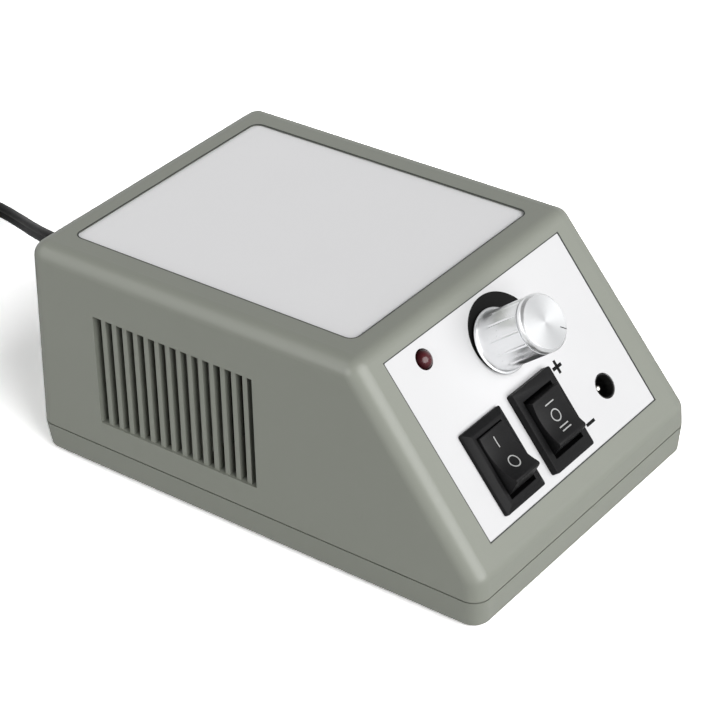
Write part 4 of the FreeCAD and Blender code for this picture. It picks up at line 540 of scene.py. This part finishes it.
def flat_bars(bars):
    """Flat rectangles, each a centre and a size in mm."""
    shape = bmesh.new()
    for (across, along), (wide, long) in bars:
        place = Matrix.Translation((across, along, 0)) @ Matrix.Diagonal((wide / 2, long / 2, 1, 1))
        bmesh.ops.create_grid(shape, x_segments=2, y_segments=4, size=1, matrix=place)
    return shape


def gap_shade_bead(name, middle, size, corner, wide, levels, place):
    """A thin dark bead that fills the gap round a plate, against the wall of its recess: painted shade for
    the shadow line in that gap.
    """
    low, high = levels
    bead = bmesh.new()
    bmesh.ops.create_grid(bead, x_segments=1, y_segments=1, size=0.5,
                          matrix=Matrix.Translation((*middle, low)) @ Matrix.Diagonal((*size, 1, 1)))
    bmesh.ops.bevel(bead, geom=bead.verts, offset=corner, segments=6, profile=0.5, affect="VERTICES",
                    material=-1)
    inner = bead.faces[:][0]
    bmesh.ops.inset_region(bead, faces=[inner], thickness=wide, use_boundary=True, use_even_offset=True)
    bmesh.ops.delete(bead, geom=[inner], context="FACES_ONLY")
    return solid(name, push(bead, bead.faces[:], (0, 0, high - low)), place)


# The printed wedge: its tip and its turn are in degrees, its radii in mm.
knob_centre = Vector((-0.75, 34.6))
wedge_tip = 215
wedge_turn = 235
wedge_inner = 6.8
wedge_outer = 8.0
wedge_least = 7.45
wedge_most = 13.4
wedge = bmesh.new()
start = Matrix.Rotation(math.radians(wedge_tip - wedge_turn), 4, "Z")
ends = [wedge.verts.new(start @ Vector((radius, 0, 0))) for radius in (wedge_inner, wedge_outer)]
bmesh.ops.spin(wedge, geom=ends + [wedge.edges.new(ends)], cent=(0, 0, 0), axis=(0, 0, 1),
               angle=math.radians(wedge_turn), steps=60)
for vert in wedge.verts:
    # The outer edge grows with the part swept, in hundreds of degrees from the wedge's tip.
    if vert.co.length > (wedge_inner + wedge_outer) / 2:
        angle = math.degrees(math.atan2(vert.co.y, vert.co.x))
        swept_part = (wedge_tip - (angle if angle > -90 else angle + 360)) / 100
        grown = wedge_least + 2.6 * swept_part ** 2 - 0.51 * swept_part ** 3
        vert.co *= min(grown, wedge_most) / wedge_outer
wedge.transform(Matrix.Translation((*knob_centre, 0)))
label_face = panel @ Matrix.Translation((0, 0, label_level))
printed_wedge = solid("printed_wedge", push(wedge, wedge.faces[:], (0, 0, print_thick)), label_face)
plus_middle = (11.55, 21.3)
minus_middle = (11.8, 6.0)
signs = flat_bars([(plus_middle, (3.4, 0.85)), (plus_middle, (0.85, 3.4)), (minus_middle, (3.3, 0.8))])
printed_signs = solid("printed_signs", push(signs, signs.faces[:], (0, 0, print_thick)), label_face)

# Polyester film: clean white with a fine satin matt face that spreads the light evenly.
satin_film = finish("satin_polyester_film", "#d4d4d5", 0.5, grain=0.6, relief=0.002, tint=0.01,
                    Specular_IOR_Level=0.3)
dress(satin_film, "front_label")
# Screen ink: dense black, matt, a few hundredths of a mm thick.
black_ink = finish("black_screen_ink", "#161616", 0.7, grain=0.5, relief=0.004, Specular_IOR_Level=0.1)
settle(printed_wedge, "root", "label_film", black_ink)
settle(printed_signs, "root", "label_film", black_ink)
# Painted shade: a dark, dull bead round the label, in the gap against the recess wall, stands in for the
# shadow line there.
gap_shade_finish = finish("painted_gap_shade", "#2c2f2c", 0.6, grain=0.6, relief=0.01)
label_gap_shade = gap_shade_bead("label_gap_shade", middle=(0, 23.2), size=(68.86, 46.66), corner=0.5, wide=0.24,
                       levels=(-0.55, -0.04), place=panel)
settle(label_gap_shade, "root", "label_film", gap_shade_finish)

# Top plate: a thin pale grey plastic plate with rounded corners, bonded into a recess of the roof.
# It is left bare, with the satin face of calendered sheet; a dark bead round it is painted shade for the
# shadow line in its gap.
calendered_sheet = finish("calendered_sheet", "#f0f0f1", 0.45, grain=0.9, relief=0.003, tint=0.008,
                          Specular_IOR_Level=0.3)
dress(calendered_sheet, "top_plate")
plate_gap_shade = gap_shade_bead("plate_gap_shade", middle=(0, 15.41), size=(68.76, 83.66), corner=2.6, wide=0.36,
                       levels=(58.64, 58.76), place=Matrix())
settle(plate_gap_shade, "root", "plate_film", gap_shade_finish)


# Power switch: a snap-in rocker switch moulded in black nylon. Its frame has four mitred slopes, and
# the rocker's dished face carries the on and off marks, printed in white.
def edge_lean(edge):
    """How far an edge points along the panel's outward direction, from 0 to 1."""
    run = edge.verts[1].co - edge.verts[0].co
    return abs(run.normalized() @ panel.to_3x3().col[2])


def eased(name, node):
    """A copy of a switch frame, its corners and the edges above the label rounded as moulded."""
    corner_round = 0.55
    edge_round = 0.15
    least_turn = 0.35
    margin = 0.05
    shape = bmesh.new()
    shape.from_mesh(nodes[node].data)
    bmesh.ops.transform(shape, matrix=Matrix.Scale(1 / MM, 4), verts=shape.verts)
    bmesh.ops.remove_doubles(shape, verts=shape.verts, dist=0.002)
    bmesh.ops.dissolve_limit(shape, angle_limit=math.radians(1), verts=shape.verts, edges=shape.edges)
    upright = [edge for edge in shape.edges if edge_lean(edge) > 0.99
               and min((panel.inverted() @ vert.co).z for vert in edge.verts) > label_level - margin]
    bmesh.ops.bevel(shape, geom=upright, offset=corner_round, segments=4, profile=0.5, affect="EDGES",
                    material=-1)
    sharp = [edge for edge in shape.edges
             if len(edge.link_faces) == 2 and edge.calc_face_angle() > least_turn
             and all((panel.inverted() @ vert.co).z > margin for vert in edge.verts)]
    bmesh.ops.bevel(shape, geom=sharp, offset=edge_round, segments=2, profile=0.5, affect="EDGES",
                    material=-1, clamp_overlap=True)
    mesh = bpy.data.meshes.new(name)
    shape.transform(Matrix.Scale(MM, 4))
    shape.to_mesh(mesh)
    shape.free()
    mesh.shade_smooth()
    mesh.set_sharp_from_angle(angle=math.radians(40))
    return new_object(name, mesh)


def dish(low, climb, tip):
    """The height of a rocker's face over its pivot: low in its middle and higher by climb at its tips."""
    return lambda along: low + climb * (along / tip) ** 2


def crown_line(rise, tip, steps):
    """Points along a rocker's face from tip to tip, with as many steps to each side."""
    return [(tip * number / steps, rise(tip * number / steps)) for number in range(-steps, steps + 1)]


def rocker(name, crown, ends, foot, width, tip_round, place):
    """A rocker: its crown is a list of points along the face, and its ends slope down to the foot.
    The raised tip is rounded by tip_round, the sunk one is nearly sharp."""
    sunk_round = 0.3
    rim_round = 0.15
    shape = bmesh.new()
    outline = [(-foot[0], foot[1]), (-ends[0], ends[1])] + crown + [(ends[0], ends[1]), foot]
    points = [shape.verts.new((-width / 2, along, up)) for along, up in outline]
    shape.faces.new(points)
    for corner, cut in ((points[2], tip_round), (points[-3], sunk_round)):
        bmesh.ops.bevel(shape, geom=[corner], offset=cut, segments=4, profile=0.5, affect="VERTICES",
                        material=-1)
    push(shape, shape.faces[:], (width, 0, 0))
    bmesh.ops.recalc_face_normals(shape, faces=shape.faces)
    rim = [edge for edge in shape.edges if edge.calc_face_angle(0) > math.radians(60)]
    bmesh.ops.bevel(shape, geom=rim, offset=rim_round, segments=2, profile=0.5, affect="EDGES",
                    material=-1)
    return solid(name, shape, place, crease=30)


def on_crown(shape, rise, height):
    """Lays a flat bmesh on a rocker's crown, whose height along the face is given, and thickens it."""
    push(shape, shape.faces[:], (0, 0, height))
    for vert in shape.verts:
        vert.co.z += rise(vert.co.y)
    return shape


def ring_mark(centre_along, radius, line):
    """A flat ring for the off mark."""
    shape = bmesh.new()
    for size in (radius, radius - line):
        bmesh.ops.create_circle(shape, cap_ends=False, segments=40, radius=size,
                                matrix=Matrix.Translation((0, centre_along, 0)))
    bmesh.ops.bridge_loops(shape, edges=shape.edges)
    return shape


power_middle = (-19.0, 12.75)
power_tilt = -16.5
power_tip = 6.4
pivot_level = -0.9
rocker_foot = (6.4, -1.4)
mark_thick = 0.05
power_place = (panel @ Matrix.Translation((*power_middle, pivot_level))
               @ Matrix.Rotation(math.radians(power_tilt), 4, "X"))
power_rise = dish(3.9, 1.6, power_tip)
power_rocker = rocker("power_rocker_cap", crown_line(power_rise, power_tip, 8), ends=(7.3, 0.3),
                      foot=rocker_foot, width=9.1, tip_round=0.8, place=power_place)
power_marks = flat_bars([((-0.4, 3.5), (0.28, 2.7))])
power_on = solid("power_on_mark", on_crown(power_marks, power_rise, mark_thick), power_place)
power_ring = ring_mark(centre_along=-2.25, radius=1.58, line=0.28)
power_off = solid("power_off_mark", on_crown(power_ring, power_rise, mark_thick), power_place)

# Black nylon from a finely etched mould: the frame is satin, the rocker a shade duller.
frame_nylon = finish("satin_black_nylon", "#0f0f10", 0.5, grain=0.4, relief=0.006, tint=0.06,
                     Specular_IOR_Level=0.14)
rocker_nylon = finish("dull_black_nylon", "#0d0d0e", 0.5, grain=0.4, relief=0.008, tint=0.06,
                      Specular_IOR_Level=0.18)
# Pad-printed ink: off-white and matt.
white_ink = finish("white_pad_ink", "#a9aaa9", 0.6, grain=0.3, relief=0.003)
power_frame = eased("power_switch_frame", "power_switch_body")
settle(power_frame, "root", "switch_plastic", frame_nylon, "power_switch_body")
settle(power_rocker, "power_rocker", "switch_plastic", rocker_nylon, "power_rocker")
settle(power_on, "power_rocker", "switch_plastic", white_ink)
settle(power_off, "power_rocker", "switch_plastic", white_ink)
# Natural acetal: plungers under the rockers, moulded, waxy and off-white.
acetal = finish("natural_acetal", "#d8d7cf", 0.3, grain=0.8, relief=0.004)
dress(acetal, "power_plunger", "polarity_plunger")
# Drawn spring wire: bright grey steel, coiled cold.
spring_wire = finish("drawn_spring_wire", "#9c9da0", 0.28, grain=0.3, relief=0.004, Metallic=1.0)
dress(spring_wire, "power_spring", "polarity_spring")

# Polarity switch: the same kind of switch with three places. Its frame is straight sided, and the
# rocker's one shallow dish carries three printed marks, one for each place.
polarity_middle = (0.0, 12.75)
polarity_tilt = -6.5
polarity_tip = 5.85
polarity_place = (panel @ Matrix.Translation((*polarity_middle, pivot_level))
                  @ Matrix.Rotation(math.radians(polarity_tilt), 4, "X"))
polarity_rise = dish(4.15, 1.3, polarity_tip)
polarity_rocker = rocker("polarity_rocker_cap", crown_line(polarity_rise, polarity_tip, 7),
                         ends=(6.9, 1.0), foot=rocker_foot, width=10.6, tip_round=1.3,
                         place=polarity_place)
polarity_bars = flat_bars([((0, 3.5), (3.3, 0.3)), ((0.1, -2.5), (3.3, 0.3)), ((0.1, -3.5), (3.3, 0.3))])
polarity_ends = solid("polarity_end_marks", on_crown(polarity_bars, polarity_rise, mark_thick),
                      polarity_place)
polarity_ring = ring_mark(centre_along=0.34, radius=1.55, line=0.3)
polarity_off = solid("polarity_off_mark", on_crown(polarity_ring, polarity_rise, mark_thick),
                     polarity_place)
polarity_frame = eased("polarity_switch_frame", "polarity_switch_body")
settle(polarity_frame, "root", "switch_plastic", frame_nylon, "polarity_switch_body")
settle(polarity_rocker, "polarity_rocker", "switch_plastic", rocker_nylon, "polarity_rocker")
settle(polarity_ends, "polarity_rocker", "switch_plastic", white_ink)
settle(polarity_off, "polarity_rocker", "switch_plastic", white_ink)

# Speed control: a rotary potentiometer behind the panel. A plated case closes over a wafer of
# phenolic paper, and its threaded bushing comes through the panel under a washer and a nut.
dress(nickel, "pot_case", "pot_bushing", "pot_washer", "pot_nut")
# Phenolic paper: brown and dull, punched from sheet.
phenolic_paper = finish("phenolic_paper", "#6b4522", 0.5, grain=1.2, relief=0.01, tint=0.12)
dress(phenolic_paper, "pot_wafer")

# Speed knob: a shell of bright aluminium, turned, then knurled between twelve plain lines, with a
# flared collar and thin skirt at its foot and a fine groove below its rim. A nylon hub grips the shaft.
def about_axis(tree, place):
    """The way round a turned piece's axis and the distance from it in metres, as sockets."""
    heart = (Matrix.Scale(MM, 4) @ place).translation
    spoke = add_node(tree, "VectorMath", {0: add_node(tree, "TexCoord").outputs["Object"], 1: heart},
                     operation="SUBTRACT")
    around = add_node(tree, "VectorMath", {0: place.to_3x3().col[2], 1: spoke.outputs[0]},
                      operation="CROSS_PRODUCT").outputs[0]
    return around, add_node(tree, "VectorMath", {0: around}, operation="LENGTH").outputs["Value"]


knob_place = panel @ Matrix.Translation((*knob_centre, 0))
knob_radius = 6.95
face_level = 16.0
skirt_level = 1.0
panels_round = 12
steps_a_panel = 10
knurl_low = 4.3
knurl_high = 13.7
knurl_end = 13.8
knurl_rows = 24
knurl_deep = 0.07
line_deep = 0.2
line_angle = 15
pointer_angle = -42
pointer_reach = 5.45
pointer_size = (1.9, 0.22, 0.04)
knob_profile = [(6.0, 0.3), (7.4, 0.3), (7.9, 0.68), (7.95, 0.78), (7.9, 0.9), (7.75, 0.95),
                (7.42, 0.98), (7.3, 1.2), (7.13, 1.8), (7.02, 2.6), (knob_radius, 3.5)]
knob_profile += [(knob_radius, knurl_low + (knurl_high - knurl_low) * number / knurl_rows)
                 for number in range(knurl_rows + 1)]
knob_profile += [(knob_radius, 13.85), (6.88, 13.95), (6.6, 14.0), (6.6, 14.2), (6.88, 14.25),
                 (knob_radius, 14.35), (knob_radius, 15.38), (6.9, 15.48), (6.45, 15.93),
                 (6.35, face_level), (3.0, face_level), (0, face_level), (0, 14.8), (6.0, 14.8), (6.0, 0.3)]
knob_shape = turned(knob_profile, panels_round * steps_a_panel)
row_height = (knurl_high - knurl_low) / knurl_rows
for vert in knob_shape.verts:
    row = round((vert.co.z - knurl_low) / row_height)
    column = round(math.degrees(math.atan2(vert.co.y, vert.co.x)) * panels_round * steps_a_panel / 360)
    within = (abs(vert.co.xy.length - knob_radius) < 0.001 and 0 <= row <= knurl_rows
              and vert.co.z < knurl_end)
    if within and column % steps_a_panel == 0:
        vert.co.xy *= (knob_radius - line_deep) / knob_radius
    elif (within and 1 < column % steps_a_panel < steps_a_panel - 1 and 0 < row < knurl_rows
          and (row + column) % 2):
        vert.co.xy *= (knob_radius - knurl_deep) / knob_radius
knob = solid("turned_knob", knob_shape,
             knob_place @ Matrix.Rotation(math.radians(line_angle), 4, "Z"), crease=28)
pointer = bmesh.new()
cube(pointer, (pointer_reach, 0, face_level), pointer_size)
knob_pointer = solid("knob_pointer", pointer,
                     knob_place @ Matrix.Rotation(math.radians(pointer_angle), 4, "Z"))

# Bright aluminium: nearly white with a soft gloss. The knurl's pitch is drawn at 0.37 mm to show.
bright_aluminium = finish("bright_aluminium", "#eeeff0", 0.3, grain=0.9, relief=0.001, tint=0.01,
                          Metallic=1.0)
settle(knob, "knob", "knob_shell", bright_aluminium, "speed_knob")
settle(knob_pointer, "knob", "knob_shell", black_ink)
# Turned face: the tool's fine rings, 0.25 mm apart, spread every highlight into two cones.
ring_pitch = 0.25 * MM
turned_face = bpy.data.materials.new("turned_aluminium_face")
turned_face.use_nodes = True
tree = turned_face.node_tree
shader = tree.nodes["Principled BSDF"]
# Its colour is set darker than the shell's: painted shade that keeps the lamp's highlight from washing out
# the face.
shader.inputs["Base Color"].default_value = paint("#bcbdbe")
shader.inputs["Metallic"].default_value = 1.0
shader.inputs["Anisotropic"].default_value = 0.4
shader.inputs["Anisotropic Rotation"].default_value = 0.25
around, reach = about_axis(tree, knob_place)
cut_way = add_node(tree, "VectorTransform", {0: around}, vector_type="VECTOR",
                   convert_from="OBJECT", convert_to="WORLD")
ring_count = add_node(tree, "Math", {0: reach, 1: 1 / ring_pitch}, operation="MULTIPLY")
rings = add_node(tree, "TexNoise", {"W": ring_count.outputs[0], "Scale": 1.0, "Detail": 1.0},
                 noise_dimensions="1D")
gloss = add_node(tree, "MapRange", {"Value": rings.outputs["Fac"], "To Min": 0.48, "To Max": 0.6})
tree.links.new(gloss.outputs[0], shader.inputs["Roughness"])
tree.links.new(cut_way.outputs[0], shader.inputs["Tangent"])
# Skirt: the same metal, rougher, with its colour darkened as painted shade to damp the lamp's highlight
# there.
skirt_shaded_aluminium = finish("aluminium_skirt_painted_shade", "#b4b5b6", 0.45, grain=0.9, relief=0.001, tint=0.01,
                     Metallic=1.0)
knob.data.materials.append(turned_face)
knob.data.materials.append(skirt_shaded_aluminium)
for polygon in knob.data.polygons:
    level = (knob_place.inverted() @ (polygon.center / MM)).z
    if level > face_level - 0.001:
        polygon.material_index = 1
    elif level < skirt_level:
        polygon.material_index = 2
# Grey nylon hub: plain moulded nylon, seen only from below.
grey_nylon = finish("grey_nylon", "#4a4b4c", 0.5, grain=0.6, relief=0.01)
dress(grey_nylon, "knob_insert")

# Power lamp: a 5 mm light-emitting diode cast in dark red epoxy, pushed through the panel from
# behind until its flange stops it. Its two tinned leads are bent back to the wiring.
lamp_place = panel @ Matrix.Translation((-23.1, 41.7, 0))
lamp_radius = 2.52
dome_level = -1.25
lens_profile = [(0, -4.0), (2.9, -4.0), (2.9, -3.0), (lamp_radius, -3.0)]
lens_profile += [(lamp_radius * math.cos(math.radians(angle)),
                  dome_level + lamp_radius * math.sin(math.radians(angle))) for angle in range(0, 91, 9)]
lens = solid("lamp_lens", turned(lens_profile, steps=48), lamp_place, crease=50)
# Red diffused epoxy: dark when unlit, with a softly polished dome. Towards its rim the colour goes
# near-black as painted shade, and its specular level fades there.
red_epoxy = finish("red_diffused_epoxy", "#4a1118", 0.2, grain=2.0, relief=0.003, tint=0.05)
tree = red_epoxy.node_tree
shader = tree.nodes["Principled BSDF"]
reach = about_axis(tree, lamp_place)[1]
# Painted shade: the colour darkens to near-black from 1.2 mm out to the rim.
depth = add_node(tree, "MapRange", {"Value": reach, "From Min": 1.2 * MM, "From Max": 2.4 * MM})
rim_shaded = add_node(tree, "Mix", {"Factor": depth.outputs[0], 7: paint("#1a0608"),
                                  6: shader.inputs["Base Color"].links[0].from_socket}, data_type="RGBA")
tree.links.new(rim_shaded.outputs[2], shader.inputs["Base Color"])
sheen = add_node(tree, "MapRange", {"Value": reach, "From Min": 1.3 * MM, "From Max": 2.2 * MM,
                                    "To Min": 0.5, "To Max": 0.02})
tree.links.new(sheen.outputs[0], shader.inputs["Specular IOR Level"])
settle(lens, "root", "lamp_lens", red_epoxy, "led_lens")
# Tinned wire: bright and slightly rippled.
tinned_wire = finish("tinned_wire", "#c4c6c6", 0.25, grain=0.5, relief=0.01, Metallic=1.0)
dress(tinned_wire, "led_leads")

# Output socket: a barrel socket in black nylon behind the panel, with a centre pin of plated brass
# and a leaf contact beside the bore. Its nose fills the round hole up to the label.
socket_place = panel @ Matrix.Translation((22.1, 10.5, 0))
pin_foot = -14.5
solder_tail = (2.0, 0.4, 5.1)
nose_profile = [(2.75, -2.6), (3.12, -2.6), (3.12, -0.45), (3.0, -0.3), (2.85, -0.3), (2.75, -0.42),
                (2.75, -2.6)]
socket_nose = solid("socket_nose", turned(nose_profile, steps=48), socket_place)
# Glass-filled nylon: black, with a faint sheen where it was moulded against polished steel.
socket_nylon = finish("glass_filled_nylon", "#131313", 0.5, grain=0.5, relief=0.01,
                      Specular_IOR_Level=0.35)
settle(socket_nose, "root", "jack_plastic", socket_nylon)
dress(socket_nylon, "jack_body")
# Silver plate: the brightest metal here, worn smooth by plugs.
silver_plate = finish("silver_plated_brass", "#eceae4", 0.2, grain=0.6, relief=0.003, Metallic=1.0)
pin = turned([(0, pin_foot), (1.0, pin_foot), (1.0, -3.0), (0.9, -2.6), (0.65, -2.3), (0.35, -2.2),
              (0, -2.17)], steps=32)
cube(pin, (0, 0, pin_foot - 2.45), solder_tail)
socket_pin = solid("socket_pin", pin, socket_place)
settle(socket_pin, "root", "nickel_plate", silver_plate, "jack_pin")
